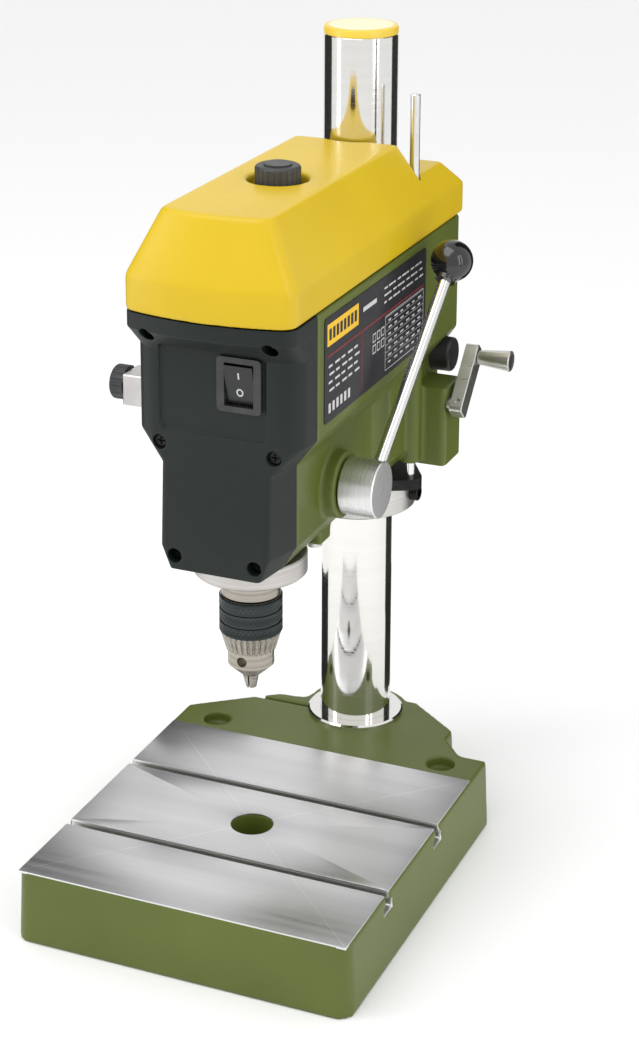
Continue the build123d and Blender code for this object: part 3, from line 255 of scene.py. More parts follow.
# %% Painted or moulded surface
def painted(name, colour, shade, rough, grain=900.0, relief=0.00004, coat=0.0, edge_highlight_colour=None,
            metal_boxes=(), gloss=0.5):
    """Paint or plastic: tone drifts between two colours, fine skin, painted highlights on sharp edges, and
    bare metal in boxes.
    """
    material, tree, shader = new_material(name)
    skin = use_group(tree, paint_skin, Grain=grain)
    surface = blend_colours(tree, spread_value(tree, skin.outputs["Tone"], 0.0, 1.0), shade, colour)
    # painted highlight: sharp edges are mixed towards a lighter colour, as if light caught them
    if edge_highlight_colour:
        edge_highlight = use_group(tree, painted_edge_highlight)
        surface = blend_colours(tree, edge_highlight.outputs["Mask"], surface, edge_highlight_colour)
    roughness = spread_value(tree, skin.outputs["Height"], rough - 0.04, rough + 0.05)
    bare = None
    for centre, half in metal_boxes:
        mask = use_group(tree, box_mask, Centre=centre, Half=half).outputs["Mask"]
        bare = mask if bare is None else math_node(tree, "MAXIMUM", bare, mask)
    if bare is not None:
        surface = blend_colours(tree, bare, surface, (0.60, 0.60, 0.58))
        smoother = math_node(tree, "MULTIPLY", bare, 0.08)
        roughness = math_node(tree, "SUBTRACT", roughness, smoother, clamp=True)
        tree.links.new(bare, shader.inputs["Metallic"])
    tree.links.new(surface, shader.inputs["Base Color"])
    tree.links.new(roughness, shader.inputs["Roughness"])
    shader.inputs["Specular IOR Level"].default_value = gloss
    shader.inputs["Coat Weight"].default_value = coat
    shader.inputs["Coat Roughness"].default_value = 0.08
    add_bump(tree, shader, skin.outputs["Height"], relief)
    return material


# %% Milled or ground metal
def milled(name, colour, shade, rough, stretch, relief=0.00002, spread=0.1):
    """Cut metal: marks drawn out along the cut change its tone, gloss and height."""
    material, tree, shader = new_material(name)
    marks = use_group(tree, cutter_marks, Stretch=stretch)
    tone = spread_value(tree, marks.outputs["Tone"], 0.0, 1.0)
    tree.links.new(blend_colours(tree, tone, shade, colour), shader.inputs["Base Color"])
    tree.links.new(spread_value(tree, marks.outputs["Height"], rough - spread / 2, rough + spread / 2),
                   shader.inputs["Roughness"])
    shader.inputs["Metallic"].default_value = 1.0
    add_bump(tree, shader, marks.outputs["Height"], relief)
    return material, tree, shader, marks


# %% Turned metal
def turned_finish(name, colour, shade, rough, centre, axis, fineness, relief):
    """Turned metal: rings about the piece's own axis."""
    material, tree, shader = new_material(name)
    along = tuple(1.0 if axis == label else 0.0 for label in "XYZ")
    across = tuple(1.0 - part for part in along)
    rings = use_group(tree, lathe_rings, Centre=tuple(centre), Across=across, Along=along, Fineness=fineness)
    tone = spread_value(tree, rings.outputs["Tone"], 0.0, 1.0)
    tree.links.new(blend_colours(tree, tone, shade, colour), shader.inputs["Base Color"])
    tree.links.new(spread_value(tree, rings.outputs["Height"], rough - 0.05, rough + 0.07),
                   shader.inputs["Roughness"])
    shader.inputs["Metallic"].default_value = 1.0
    add_bump(tree, shader, rings.outputs["Height"], relief)
    return material


print("finishes: painted, milled, turned")

# %% [markdown]
# ### Paints and plastics
# The castings are painted, and the cap, the knobs and the switch are plastic mouldings. Each could have a
# node tree of its own, but they differ only in colour, gloss, grain and a painted highlight on their edges,
# so one list of values is enough. The slots in the table were cut through the paint, and there masks show
# bare metal.

# %% Bare walls of the slots
SLOT_HALF = 3 * MM  # half the neck; the foot is twice as wide
SLOT_MIDDLES = (SPINDLE.y - 40 * MM, SPINDLE.y + 40 * MM)
mask_margin = 0.3 * MM  # the masks reach this far past the walls, so that the walls are bare too
past_sides = 2 * TABLE_HALF  # the slots run out through both sides of the base
slot_boxes = []
for slot_y in SLOT_MIDDLES:
    neck = (past_sides, SLOT_HALF + mask_margin, 7 * MM)
    foot = (past_sides, 2 * SLOT_HALF + mask_margin, 3 * MM)
    slot_boxes += [((0, slot_y, TABLE_Z), neck), ((0, slot_y, TABLE_Z - 8.5 * MM), foot)]
print("slot masks", len(slot_boxes))

# %% Paints and plastics
OLIVE, OLIVE_SHADE = (0.104, 0.134, 0.021), (0.084, 0.110, 0.017)
# the lighter olive below, and the lighter edge colours in the table, are painted highlights on sharp edges
olive_edge_highlight = (0.20, 0.25, 0.08)
# key: material name, colour, shade, roughness, and whatever differs from a plain satin paint
PAINTS = {
    "base_paint": ("olive_base", OLIVE, OLIVE_SHADE, 0.42,
                   dict(coat=0.04, edge_highlight_colour=olive_edge_highlight, metal_boxes=slot_boxes, gloss=0.35)),
    "head_paint": ("olive_head", OLIVE, OLIVE_SHADE, 0.40,
                   dict(coat=0.06, edge_highlight_colour=olive_edge_highlight, gloss=0.35)),
    "front_paint": ("green_black_front", (0.0110, 0.0170, 0.0140), (0.0080, 0.0125, 0.0105), 0.48,
                    dict(grain=1500.0, relief=0.00005, edge_highlight_colour=(0.055, 0.068, 0.061), gloss=0.28)),
    "yellow": ("yellow_cover", (0.65, 0.450, 0.002), (0.60, 0.410, 0.0015), 0.36,
               dict(grain=500.0, relief=0.00002, coat=0.06, gloss=0.4)),
    "cap_yellow": ("yellow_cap", (0.78, 0.56, 0.05), (0.72, 0.5, 0.04), 0.35,
                   dict(grain=700.0, relief=0.00002, coat=0.2)),
    # pale cream on the cap's top is a painted highlight of the glossy yellow moulding
    "cap_top_highlight": ("cap_top_painted_highlight", (0.80, 0.78, 0.52), (0.76, 0.74, 0.47), 0.4,
                  dict(grain=700.0, relief=0.00002, coat=0.1)),
    "black_plastic": ("black_moulding", (0.022, 0.023, 0.024), (0.015, 0.016, 0.017), 0.42,
                      dict(grain=1600.0, edge_highlight_colour=(0.06, 0.06, 0.06))),
    "charcoal": ("charcoal_knob", (0.045, 0.047, 0.048), (0.032, 0.034, 0.035), 0.45,
                 dict(grain=1800.0, relief=0.00005, edge_highlight_colour=(0.11, 0.11, 0.11))),
    "switch_black": ("switch_moulding", (0.012, 0.014, 0.014), (0.009, 0.010, 0.010), 0.28,
                     dict(grain=1400.0, relief=0.00001, edge_highlight_colour=(0.05, 0.05, 0.05))),
    "ball_black": ("ball_lacquer", (0.006, 0.006, 0.006), (0.004, 0.004, 0.004), 0.12,
                   dict(grain=300.0, relief=0.00001, coat=0.6)),
    "belt": ("belt_rubber", (0.02, 0.02, 0.02), (0.012, 0.012, 0.012), 0.8,
             dict(grain=2200.0, relief=0.0001)),
    "label": ("label_film", (0.026, 0.025, 0.029), (0.020, 0.019, 0.023), 0.36,
              dict(grain=1200.0, relief=0.00001, gloss=0.25)),
    "print_white": ("print_white", (0.62, 0.62, 0.62), (0.5, 0.5, 0.5), 0.5,
                    dict(grain=1500.0, relief=0.00001)),
    "print_yellow": ("print_yellow", (0.85, 0.52, 0.01), (0.78, 0.46, 0.01), 0.45,
                     dict(grain=1500.0, relief=0.00001)),
    "print_red": ("print_red", (0.22, 0.010, 0.010), (0.17, 0.008, 0.008), 0.5,
                  dict(grain=1500.0, relief=0.00001)),
}
look = {}
for key, (name, colour, shade, rough, extras) in PAINTS.items():
    look[key] = painted(name, colour, shade, rough, **extras)
print("paints and plastics:", len(look))

# %% [markdown]
# ### Metals
# Turned and ground pieces carry fine rings round their own axis. The column is polished, so its rings are
# almost gone, and the hub keeps more of them. Bars and castings have marks along one direction instead.
# One noise could serve for all of them, but highlights on bright metal show which way it was cut.

# %% Turned metals and cut metals
MOTOR = centre_of("motor_pulley")
# key: material name, colour, shade, roughness, axis point, axis, fineness of the rings, relief in metres
TURNED = {
    "chrome": ("polished_column", (0.83, 0.82, 0.79), (0.80, 0.79, 0.76), 0.08,
               COLUMN, "Z", 900.0, 0.000002),
    "hub_metal": ("turned_hub", (0.80, 0.80, 0.80), (0.72, 0.72, 0.72), 0.30,
                  FEED, "X", 2600.0, 0.00001),
    "quill_steel": ("ground_quill", (0.70, 0.69, 0.66), (0.60, 0.59, 0.56), 0.22,
                    SPINDLE, "Z", 3000.0, 0.00002),
    "ring_grey": ("machined_ring", (0.60, 0.58, 0.56), (0.50, 0.48, 0.46), 0.42,
                  SPINDLE, "Z", 1800.0, 0.00002),
    "chuck_steel": ("chuck_steel", (0.44, 0.41, 0.35), (0.30, 0.28, 0.24), 0.27,
                    SPINDLE, "Z", 3200.0, 0.00002),
    "chuck_black": ("chuck_blacking", (0.060, 0.070, 0.070), (0.035, 0.042, 0.042), 0.33,
                    SPINDLE, "Z", 1500.0, 0.00002),
    "collar_metal": ("collar_metal", (0.66, 0.65, 0.62), (0.55, 0.54, 0.52), 0.36,
                     COLUMN, "Z", 2200.0, 0.00002),
    "black_steel": ("blackened_steel", (0.035, 0.035, 0.035), (0.02, 0.02, 0.02), 0.4,
                    COLUMN, "Z", 1500.0, 0.00002),
    "pulley": ("turned_pulley", (0.72, 0.72, 0.71), (0.62, 0.62, 0.61), 0.3,
               SPINDLE, "Z", 2400.0, 0.00002),
    "motor_pulley": ("turned_motor_pulley", (0.72, 0.72, 0.71), (0.62, 0.62, 0.61), 0.3,
                     MOTOR, "Z", 2400.0, 0.00002),
}
for key, row in TURNED.items():
    look[key] = turned_finish(*row)
look["bright_bar"] = milled("bright_bar", (0.82, 0.82, 0.81), (0.72, 0.72, 0.71), 0.16,
                            (900.0, 60.0, 60.0))[0]
look["steel"] = milled("drawn_steel", (0.66, 0.65, 0.62), (0.54, 0.53, 0.50), 0.32, (80.0, 900.0, 900.0))[0]
look["cast_aluminium"] = milled("cast_aluminium", (0.62, 0.60, 0.58), (0.50, 0.48, 0.47), 0.34,
                                (500.0, 120.0, 500.0))[0]
print("finishes made:", len(look))

# %% [markdown]
# ## The milled table
# The table is cut bright with a face mill and carries two scribed diagonals that meet at the hole.
# The scribed lines are masks worked out from the distance to each diagonal, and they cut into the surface
# as well as lighten it.

# %% Milled table finish with scribed diagonals
table_metal, table_tree, table_shader, table_marks = milled(
    "milled_table", (0.80, 0.80, 0.81), (0.69, 0.69, 0.70), 0.38, (6.0, 420.0, 420.0), 0.00002, 0.10)
middle = (SPINDLE.x, SPINDLE.y, TABLE_Z)
from_middle = vector_node(table_tree, "SUBTRACT", place(table_tree), middle).outputs[0]
scribed = None
for direction in ((0.7071, 0.7071, 0.0), (0.7071, -0.7071, 0.0)):
    reach = vector_node(table_tree, "DOT_PRODUCT", from_middle, direction).outputs["Value"]
    line = math_node(table_tree, "LESS_THAN", math_node(table_tree, "ABSOLUTE", reach), 0.16 * MM)
    scribed = line if scribed is None else math_node(table_tree, "MAXIMUM", scribed, line)
plain_colour = table_shader.inputs["Base Color"].links[0].from_socket
table_tree.links.new(blend_colours(table_tree, scribed, plain_colour, (0.97, 0.97, 0.97)),
                     table_shader.inputs["Base Color"])
plain_height = table_marks.outputs["Height"]
cut_height = math_node(table_tree, "SUBTRACT", plain_height, math_node(table_tree, "MULTIPLY", scribed, 3.0))
add_bump(table_tree, table_shader, cut_height, 0.00003)
look["table"] = table_metal
print("table finish with", len(table_tree.nodes), "nodes")

# %% [markdown]
# ## Making pieces
# Two ways cover most pieces. A lathe function spins a profile, for anything round. A casting function takes
# the working solid, rebuilds its skin as an even grid and lets it relax, which rounds every edge a little,
# the way sand casting and moulding do.


# %% Piece helpers
def add_piece(name, vertices, faces, material, body, replaced=(), smooth_angle=35):
    """A mesh object that rides on a body; edges sharper than smooth_angle stay crisp."""
    mesh = bpy.data.meshes.new(name)
    mesh.from_pydata([tuple(v) for v in vertices], [], faces)
    mesh.validate()
    piece = bpy.data.objects.new(name, mesh)
    scene.collection.objects.link(piece)
    finish_piece(piece, material, body, replaced, smooth_angle)
    return piece


def finish_piece(piece, material, body, replaced=(), smooth_angle=35):
    piece.data.materials.clear()
    piece.data.materials.append(look[material])
    piece.data.set_sharp_from_angle(angle=radians(smooth_angle))
    for polygon in piece.data.polygons:
        polygon.use_smooth = True
    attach(piece, body)
    if replaced:
        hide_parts(*replaced)


def baked(piece):
    """Applies a piece's modifiers, so its mesh is what it shows."""
    shown = piece.evaluated_get(bpy.context.evaluated_depsgraph_get())
    mesh = bpy.data.meshes.new_from_object(shown)
    piece.modifiers.clear()
    piece.data = mesh
    return mesh


def cast_copy(node, name, material, body, grid, passes, keep):
    """The working solid with an evened, relaxed skin: soft edges, as cast or moulded."""
    piece = bpy.data.objects.new(name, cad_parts[node].data.copy())
    scene.collection.objects.link(piece)
    remesh = piece.modifiers.new("even_skin", "REMESH")
    remesh.mode = "VOXEL"
    remesh.voxel_size = grid
    relax = piece.modifiers.new("relax", "SMOOTH")
    relax.factor = 0.5
    relax.iterations = passes
    thin = piece.modifiers.new("thin_out", "DECIMATE")
    thin.ratio = keep
    baked(piece)
    finish_piece(piece, material, body, (node,), 180)
    print(name, "faces", len(piece.data.polygons))
    return piece


def spin(name, outline, centre, axis, material, body, replaced=(), steps=96, smooth_angle=30):
    """A turned piece: outline is (distance along the axis, radius) from end to end, about a point."""
    along = Vector(axis).normalized()
    side = along.orthogonal().normalized()
    other = along.cross(side)
    vertices, faces = [], []
    for reach, radius in outline:
        for step in range(steps):
            turn = 2 * pi * step / steps
            vertices.append(Vector(centre) + along * reach + (side * cos(turn) + other * sin(turn)) * radius)
    for row in range(len(outline) - 1):
        for step in range(steps):
            a, b = row * steps + step, row * steps + (step + 1) % steps
            faces.append((a, b, b + steps, a + steps))
    faces.append(tuple(reversed(range(steps))))
    faces.append(tuple(range(len(vertices) - steps, len(vertices))))
    return add_piece(name, vertices, faces, material, body, replaced, smooth_angle)


print("piece helpers ready")

# %% [markdown]
# ## Castings and covers
# The base, the head, the dark front and the yellow cover are the large soft-edged shells. The grid is fine
# enough to keep the screw wells, and the yellow cover relaxes more, because its edges are rounder.

# %% The four shells
# node, finish, body, grid in mm, passes of relaxing, share of faces kept
CASTINGS = (
    ("base_casting", "base_paint", "base", 1.1, 5, 0.16),
    ("head_casting", "head_paint", "head", 1.1, 5, 0.22),
    ("front_cover", "front_paint", "head", 0.6, 3, 0.2),
    ("belt_cover", "yellow", "cover", 0.9, 30, 0.25),
)
for node, finish, body, grid, passes, keep in CASTINGS:
    cast_copy(node, node + "_skin", finish, body, grid * MM, passes, keep)

# %% [markdown]
# ## Room for the table
# The table is cut flat and sharp into a casting with soft edges. The relaxed skin of the base can't show
# that, and its top would lie in one plane with the bright metal. A boolean cut could make room, but lowering
# the top points of the skin to one height is simpler and leaves no slivers.

# %% The base gives way to the cut table
base_skin = scene.objects["base_casting_skin"]
rough_top = TABLE_Z - 0.9 * MM
for vertex in base_skin.data.vertices:
    vertex.co.z = min(vertex.co.z, rough_top)
print("base skin ends at", round(rough_top / MM, 1), "mm")

# %% [markdown]
# ## The bright table
# The table is the cut top of the casting. Here it is a thin plate of its own in three strips, with the slots
# between them, because a crisp cut edge beside soft paint is what tells the eye that it was machined.


# %% Plate with broken edges
def plate(name, x_range, y_range, z_range, material, body, hole=None, broken=0.35 * MM):
    """A flat plate; hole is (x, y, radius). Its edges are broken by a small bevel."""
    corners = [(x_range[1], y_range[1]), (x_range[0], y_range[1]), (x_range[0], y_range[0]),
               (x_range[1], y_range[0])]
    vertices, faces = [], []
    if hole is None:
        for z in z_range:
            vertices += [(x, y, z) for x, y in corners]
        faces = [(3, 2, 1, 0), (4, 5, 6, 7)] + [(k, (k + 1) % 4, (k + 1) % 4 + 4, k + 4) for k in range(4)]
    else:
        middle = Vector(hole[:2])
        rays = [(Vector(corner) - middle).normalized() for corner in corners]
        rays += [Vector((cos(2 * pi * k / 72), sin(2 * pi * k / 72))) for k in range(72)]
        rays.sort(key=lambda ray: ray.angle_signed(Vector((1, 0))))
        count = len(rays)
        for z in z_range:
            for ray in rays:
                reaches = [((x_range[1] if ray.x > 0 else x_range[0]) - middle.x) / ray.x if ray.x else 9.0,
                           ((y_range[1] if ray.y > 0 else y_range[0]) - middle.y) / ray.y if ray.y else 9.0]
                vertices.append((*(middle + ray * min(reaches)), z))
            for ray in rays:
                vertices.append((*(middle + ray * hole[2]), z))
        for k in range(count):
            n = (k + 1) % count
            out_low, in_low, out_high, in_high = 0, count, 2 * count, 3 * count
            faces.append((out_high + k, out_high + n, in_high + n, in_high + k))
            faces.append((out_low + n, out_low + k, in_low + k, in_low + n))
            faces.append((out_low + k, out_low + n, out_high + n, out_high + k))
            faces.append((in_low + n, in_low + k, in_high + k, in_high + n))
    mesh = bpy.data.meshes.new(name)
    mesh.from_pydata(vertices, [], faces)
    piece = bpy.data.objects.new(name, mesh)
    scene.collection.objects.link(piece)
    edge = piece.modifiers.new("broken_edges", "BEVEL")
    edge.width = broken
    edge.segments = 2
    edge.angle_limit = radians(50)
    baked(piece)
    finish_piece(piece, material, body)
    return piece


TABLE_X = (-TABLE_HALF, TABLE_HALF)
PLATE_Z = (TABLE_Z - 1.5 * MM, TABLE_Z)
front_slot, rear_slot = SLOT_MIDDLES
HOLE_R = 12.5 * MM
strips = ((SPINDLE.y - TABLE_HALF, front_slot - SLOT_HALF), (front_slot + SLOT_HALF, rear_slot - SLOT_HALF),
          (rear_slot + SLOT_HALF, SPINDLE.y + TABLE_HALF))
for number, strip in enumerate(strips):
    through = (SPINDLE.x, SPINDLE.y, HOLE_R) if number == 1 else None
    plate("table_strip_" + "abc"[number], TABLE_X, strip, PLATE_Z, "table", "base", through)
print("table strips", len(strips))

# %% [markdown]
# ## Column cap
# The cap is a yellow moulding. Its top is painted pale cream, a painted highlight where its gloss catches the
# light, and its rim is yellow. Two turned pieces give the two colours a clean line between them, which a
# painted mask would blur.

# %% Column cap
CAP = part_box("column_cap")[1]
cap_foot = (COLUMN.x, COLUMN.y, CAP.z - 13 * MM)
# outlines as (height above the cap's foot, radius) in mm
rim = [(0.0, 18.4), (8.0, 18.4), (8.0, 22.0), (8.3, 22.3), (11.6, 22.3), (12.3, 21.9), (12.75, 21.0),
       (12.85, 19.6)]
spin("column_cap_rim", [(a * MM, r * MM) for a, r in rim], cap_foot, (0, 0, 1), "cap_yellow", "base",
     ("column_cap",))
# the top piece is painted pale cream as a painted highlight of the yellow moulding
top = [(12.6, 19.6), (12.9, 19.5), (13.0, 18.8), (13.0, 6.0)]
spin("column_cap_top", [(a * MM, r * MM) for a, r in top], cap_foot, (0, 0, 1), "cap_top_highlight", "base")
print("cap height", round(CAP.z / MM, 1))

# %% [markdown]
# ## Chuck sleeve
# The sleeve is gripped by hand through its knurl and turned with a key through its bevel teeth. Knurling is
# two crossing sets of shallow grooves, so the radius of a fine grid is lowered along both sets of lines. A
# bump map would do from far away, but the outline of a real knurl is rough, and that needs true geometry.


# %% A turned grid whose radius follows a rule
def ribbed(name, centre, z_range, rows, steps, rule, material, body, replaced=()):
    """Rows of rings up the Z axis; rule(share of height, turn) gives each point's radius in metres."""
    vertices, faces = [], []
    for row in range(rows + 1):
        share = row / rows
        z = z_range[0] + (z_range[1] - z_range[0]) * share
        for step in range(steps):
            turn = 2 * pi * step / steps
            radius = rule(share, turn)
            vertices.append((centre.x + radius * cos(turn), centre.y + radius * sin(turn), z))
    for row in range(rows):
        for step in range(steps):
            a, b = row * steps + step, row * steps + (step + 1) % steps
            faces.append((a, b, b + steps, a + steps))
    return add_piece(name, vertices, faces, material, body, replaced, 40)


SLEEVE_LOW, SLEEVE_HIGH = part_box("chuck_sleeve")
SLEEVE_R = (SLEEVE_HIGH.x - SLEEVE_LOW.x) / 2
CONE_TOP = SLEEVE_LOW.z + 11.2 * MM


def knurl(share, turn):
    """Knurled bands parted by two plain grooves, with a rounded rim at each end."""
    height = share * (SLEEVE_HIGH.z - CONE_TOP) / MM
    length = (SLEEVE_HIGH.z - CONE_TOP) / MM
    if height < 0.6 or height > length - 0.6:
        return SLEEVE_R - 0.7 * MM
    if abs(height - 7.6) < 0.75 or abs(height - 15.2) < 0.75:
        return SLEEVE_R - 0.8 * MM
    if height < 1.4 or height > length - 2.6:
        return SLEEVE_R - 0.05 * MM
    first = abs(sin(24 * turn + 0.95 * height))
    second = abs(sin(24 * turn - 0.95 * height))
    return SLEEVE_R - 0.05 * MM - 0.42 * MM * (1 - min(first, second)) ** 2


def bevel_teeth(share, turn):
    """Thirty teeth on a cone; the gaps fade out at both ends."""
    radius = (14.3 + 3.3 * share) * MM
    gap = max(0.0, cos(30 * turn)) ** 0.5
    return radius - 1.1 * MM * gap * min(1.0, 6 * share, 5 * (1 - share))


ribbed("chuck_grip", SPINDLE, (CONE_TOP, SLEEVE_HIGH.z), 88, 480, knurl, "chuck_black", "sleeve",
       ("chuck_sleeve",))
ribbed("chuck_teeth", SPINDLE, (SLEEVE_LOW.z, CONE_TOP), 16, 480, bevel_teeth, "chuck_steel", "sleeve")
for name, height, inner, outer in (("chuck_grip_top", SLEEVE_HIGH.z - 0.1 * MM, 13.4, 17.5),
                                   ("chuck_teeth_foot", SLEEVE_LOW.z + 0.3 * MM, 13.4, 14.3)):
    ring = [(0.0, inner), (0.1, inner), (0.1, outer), (0.0, outer)]
    spin(name, [(a * MM, r * MM) for a, r in ring], (SPINDLE.x, SPINDLE.y, height - 0.1 * MM), (0, 0, 1),
         "chuck_steel", "sleeve")
print("sleeve radius", round(SLEEVE_R / MM, 2), "mm")

# %% [markdown]
# ## Printing on the label and the switch
# Print stands a hair proud of its ground, as screen print does. It is kept to plain bars, rules and boxes in
# the places where the real plate has its text, so the plate reads as a plate and says nothing.


# %% Thin print
def printed(name, material, body, corners_of, rectangles, lift=0.06 * MM):
    """Thin slabs for print; corners_of(u, v, lift) turns flat measures into a point in space."""
    vertices, faces = [], []
    for low_u, low_v, high_u, high_v in rectangles:
        first = len(vertices)
        for height in (0.0, lift):
            for u, v in ((low_u, low_v), (high_u, low_v), (high_u, high_v), (low_u, high_v)):
                vertices.append(corners_of(u * MM, v * MM, height))
        faces.append([first + k for k in (4, 5, 6, 7)])
        for k in range(4):
            n = (k + 1) % 4
            faces.append([first + k, first + n, first + n + 4, first + k + 4])
    return add_piece(name, vertices, faces, material, body)


LABEL_LOW, PLATE_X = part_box("label_plate")[0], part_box("label_plate")[1].x


def on_label(u, v, lift):
    """u runs back along the label and v up it, from its front lower corner."""
    return (PLATE_X + lift, LABEL_LOW.y + u, LABEL_LOW.z + v)


# print is measured in mm on the label: lower corner, then upper corner
printed("label_title_box", "print_yellow", "head", on_label, [(3.5, 43.5, 48.5, 56.0)])
printed("label_rules", "print_red", "head", on_label, [(3.5, 37.3, 152.5, 38.3), (53.5, 3.0, 54.5, 37.3)])
title = [(6.0 + 5.2 * k, 46.5, 9.4 + 5.2 * k, 53.0) for k in range(8)]
printed("label_title_marks", "label", "head", on_label, title, 0.1 * MM)
lines = [(55.5, 48.6, 76.0, 51.2)]  # one bar beside the title box
# short bars below the title box
for row in range(4):
    for word in range(5):
        start = 5.5 + 9.2 * word + 1.1 * (row % 2)
        lines.append((start, 31.0 - 4.6 * row, start + 5.2 + 1.6 * ((row + word) % 2), 32.3 - 4.6 * row))
# short bars at the upper right
for row in range(3):
    for word in range(9):
        start = 88.0 + 7.1 * word
        lines.append((start, 44.2 + 4.2 * row, start + 3.6 + 1.4 * ((row * 2 + word) % 3), 45.3 + 4.2 * row))
# bars in the ruled table
for row in range(7):
    for column in range(6):
        start = 95.0 + 9.6 * column
        lines.append((start, 6.5 + 4.2 * row, start + 4.0 + 1.2 * ((row + column) % 2), 7.6 + 4.2 * row))
# taller marks along the lower edge
for mark in range(6):
    lines.append((5.5 + 5.6 * mark, 5.0, 8.5 + 5.6 * mark, 10.5))
# six squares left of the table
for column in range(3):
    for row in range(2):
        lines.append((70.5 + 6.6 * column, 19.0 + 6.8 * row, 75.3 + 6.6 * column, 24.2 + 6.8 * row))
printed("label_text", "print_white", "head", on_label, lines)
squares = [(71.2 + 6.6 * c, 19.7 + 6.8 * r, 74.6 + 6.6 * c, 23.5 + 6.8 * r)
           for c in range(3) for r in range(2)]
printed("label_square_centres", "label", "head", on_label, squares, 0.1 * MM)
frame_lines = [(90.0, 3.0, 90.4, 36.0), (152.0, 3.0, 152.4, 36.0), (90.0, 3.0, 152.4, 3.4),
               (90.0, 35.6, 152.4, 36.0)]
frame_lines += [(90.0, 5.4 + 4.2 * row, 152.4, 5.6 + 4.2 * row) for row in range(1, 8)]
printed("label_table_lines", "print_white", "head", on_label, frame_lines)
print("label print pieces:", len(lines) + len(title) + len(squares) + len(frame_lines))

# %% [markdown]
# ### Marks on the switch
# The rocker carries the common marks for on and off, a bar and a ring, on its leaning face. They could be
# masks in its material, but thin slabs like the print on the label are simpler to place. They ride on the
# rocker, so they tip with it.

# %% Marks on the rocker
ROCKER_LOW, ROCKER_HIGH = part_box("switch_rocker")
ROCKER_X = (ROCKER_LOW.x + ROCKER_HIGH.x) / 2
face_rise = ROCKER_HIGH.z - ROCKER_LOW.z
face_lean = 4.4 * MM


def on_rocker(u, v, lift):
    """A point on the leaning face: u across from its middle, v up from its lower edge."""
    return (ROCKER_X + u, ROCKER_LOW.y + face_lean * (1 - v / face_rise) - lift, ROCKER_LOW.z + v)


printed("rocker_on_mark", "print_white", "rocker", on_rocker, [(-0.45, 14.6, 0.45, 18.4)])
ring_points, ring_faces = [], []
for step in range(32):
    turn = 2 * pi * step / 32
    for radius in (1.25, 2.05):
        for lift in (0.0, 0.06 * MM):
            up_face = 6.6 + radius * 1.15 * sin(turn)
            ring_points.append(on_rocker(radius * cos(turn) * MM, up_face * MM, lift))
for step in range(32):
    a, b = 4 * step, 4 * ((step + 1) % 32)
    ring_faces += [(a + 1, b + 1, b + 3, a + 3), (a + 2, a + 3, b + 3, b + 2), (a, b, b + 1, a + 1)]
add_piece("rocker_off_mark", ring_points, ring_faces, "print_white", "rocker")
print("rocker face", round(face_rise / MM, 1), "mm high")

# %% [markdown]
# ## The rest of the machine
# Pins, screws, pulleys, knobs and bars have crisp edges, and the working model already has their shape.
# They could be remade in the way of the castings, but that would only soften them, so they keep their meshes
# and take a finish from the list.

# %% Remaining pieces keep the working shape and get a finish
plain_finishes = {
    "chrome": ["column", "column_ring"],
    "black_steel": ["column_clamp_screws", "collar_screw", "rack_carrier", "cover_screws", "motor"],
    "collar_metal": ["column_collar"],
    "bright_bar": ["rack_rod", "lever_rod"],
    "switch_black": ["switch_frame", "switch_rocker"],
    "label": ["label_plate"],
    "steel": ["motor_screws", "pulley_bearing", "return_spring", "guide_screw", "crank_shaft", "crank_arm",
              "crank_pin", "crank_handle", "head_clamp_screw", "motor_shaft", "quill_lower_bearing",
              "quill_upper_bearing", "stop_rod", "stop_arm", "feed_shaft", "spindle"],
    "black_plastic": ["spring_drum", "cable_gland", "head_clamp_knob", "stop_knob", "handle_plug"],
    "charcoal": ["belt_cover_knob"],
    "quill_steel": ["quill"],
    "ring_grey": ["quill_ring"],
    "hub_metal": ["feed_hub"],
    "ball_black": ["lever_ball"],
    "cast_aluminium": ["stop_block"],
    "pulley": ["spindle_pulley"],
    "motor_pulley": ["motor_pulley"],
    "chuck_steel": ["chuck_body", "chuck_jaw_1", "chuck_jaw_2", "chuck_jaw_3"],
    "belt": ["drive_belt"],
}
for finish, names in plain_finishes.items():
    for name in names:
        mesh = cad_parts[name].data
        mesh.materials.clear()
        mesh.materials.append(look[finish])
print("finished pieces:", sum(len(names) for names in plain_finishes.values()))

# %% [markdown]
# ## Studio
# A pale floor, one broad light from above and two weaker ones beside it give the soft light of a
# catalogue. Bright metal in an all-white room looks like paper, so black cards around the column give it dark
# edges to mirror. They are hidden from the camera and cast no shadow.

# %% Floor and light
floor_mesh = bpy.data.meshes.new("studio_floor")
reach = 6.0
floor_mesh.from_pydata([(-reach, -reach, 0), (reach, -reach, 0), (reach, reach, 0), (-reach, reach, 0)], [],
                       [(0, 1, 2, 3)])
floor = bpy.data.objects.new("studio_floor", floor_mesh)
floor.location.z = -0.0002
scene.collection.objects.link(floor)
floor_finish, _, floor_shader = new_material("pale_floor")
floor_shader.inputs["Base Color"].default_value = (0.93, 0.93, 0.93, 1)
floor_shader.inputs["Roughness"].default_value = 0.9
floor_mesh.materials.append(floor_finish)

world = bpy.data.worlds.new("studio")
scene.world = world
world.use_nodes = True
world.node_tree.nodes["Background"].inputs["Color"].default_value = (1.0, 1.0, 1.0, 1)
world.node_tree.nodes["Background"].inputs["Strength"].default_value = 0.95


def soft_light(name, where, size, watts, aim=(0, -0.03, 0.22)):
    data = bpy.data.lights.new(name, "AREA")
    data.shape = "RECTANGLE"
    data.size, data.size_y = size
    data.energy = watts
    lamp = bpy.data.objects.new(name, data)
    lamp.location = where
    lamp.rotation_mode = "QUATERNION"
    lamp.rotation_quaternion = (Vector(aim) - Vector(where)).to_track_quat("-Z", "Y")
    scene.collection.objects.link(lamp)


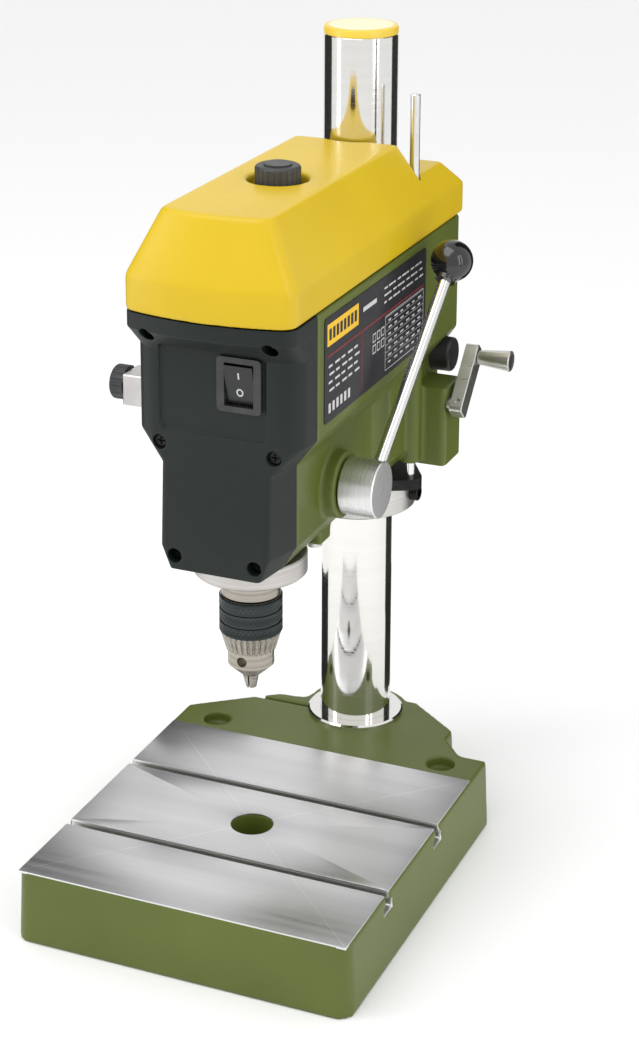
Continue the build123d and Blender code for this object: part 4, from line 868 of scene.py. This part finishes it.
soft_light("broad_top", (-0.3, -0.6, 1.6), (1.2, 1.2), 9)
soft_light("right_side", (1.3, -0.5, 0.7), (0.5, 1.2), 4)
soft_light("left_strip", (-1.1, -0.9, 0.5), (0.25, 1.2), 3)


# %% Black cards for the bright metal
def dark_card(name, azimuth, distance, width, height):
    """A black card near the column that shows only in reflections and gives bright metal its dark edges."""
    out = Vector((cos(radians(azimuth)), sin(radians(azimuth)), 0))
    across = Vector((-out.y, out.x, 0)) * width / 2
    foot = Vector((COLUMN.x, COLUMN.y, 0)) + out * distance
    up = Vector((0, 0, height))
    mesh = bpy.data.meshes.new(name)
    corners = [foot - across, foot + across, foot + across + up, foot - across + up]
    mesh.from_pydata(corners, [], [(0, 1, 2, 3)])
    mesh.materials.append(card_finish)
    card = bpy.data.objects.new(name, mesh)
    scene.collection.objects.link(card)
    card.visible_camera = card.visible_diffuse = card.visible_shadow = False


card_finish, _, card_shader = new_material("black_card")
card_shader.inputs["Base Color"].default_value = (0.02, 0.02, 0.018, 1)
card_shader.inputs["Roughness"].default_value = 1.0
dark_card("left_card", 169, 0.50, 0.44, 1.0)
dark_card("low_left_card", 169, 0.13, 0.12, 0.09)
dark_card("low_right_card", 58, 0.13, 0.11, 0.09)
dark_card("right_card", 58, 0.25, 0.20, 1.0)
dark_card("front_card", -22, 1.1, 0.10, 1.0)

# %% [markdown]
# ## Camera
# The camera stands in front of the machine on its right, higher than its top, and looks down at it. A wide
# lens could stand closer, but about 80 mm keeps the perspective mild. The shift moves the machine into the
# middle of the view without tilting the camera any further.

# %% Camera
LENS = 80.527925  # millimetres
DOWN, TURNED_LEFT = radians(16.537), radians(23.461)
camera_data = bpy.data.cameras.new("camera")
camera_data.sensor_width = 36.0
camera_data.lens = LENS
camera_data.shift_x, camera_data.shift_y = 0.03, -0.24
camera_data.clip_start, camera_data.clip_end = 0.05, 30
camera = bpy.data.objects.new("camera", camera_data)
camera.location = (0.5136, -1.2453, 0.748)
camera.rotation_euler = (pi / 2 - DOWN, 0, TURNED_LEFT)
scene.collection.objects.link(camera)
scene.camera = camera
scene.view_settings.view_transform = "Standard"
print("camera at", camera.location)
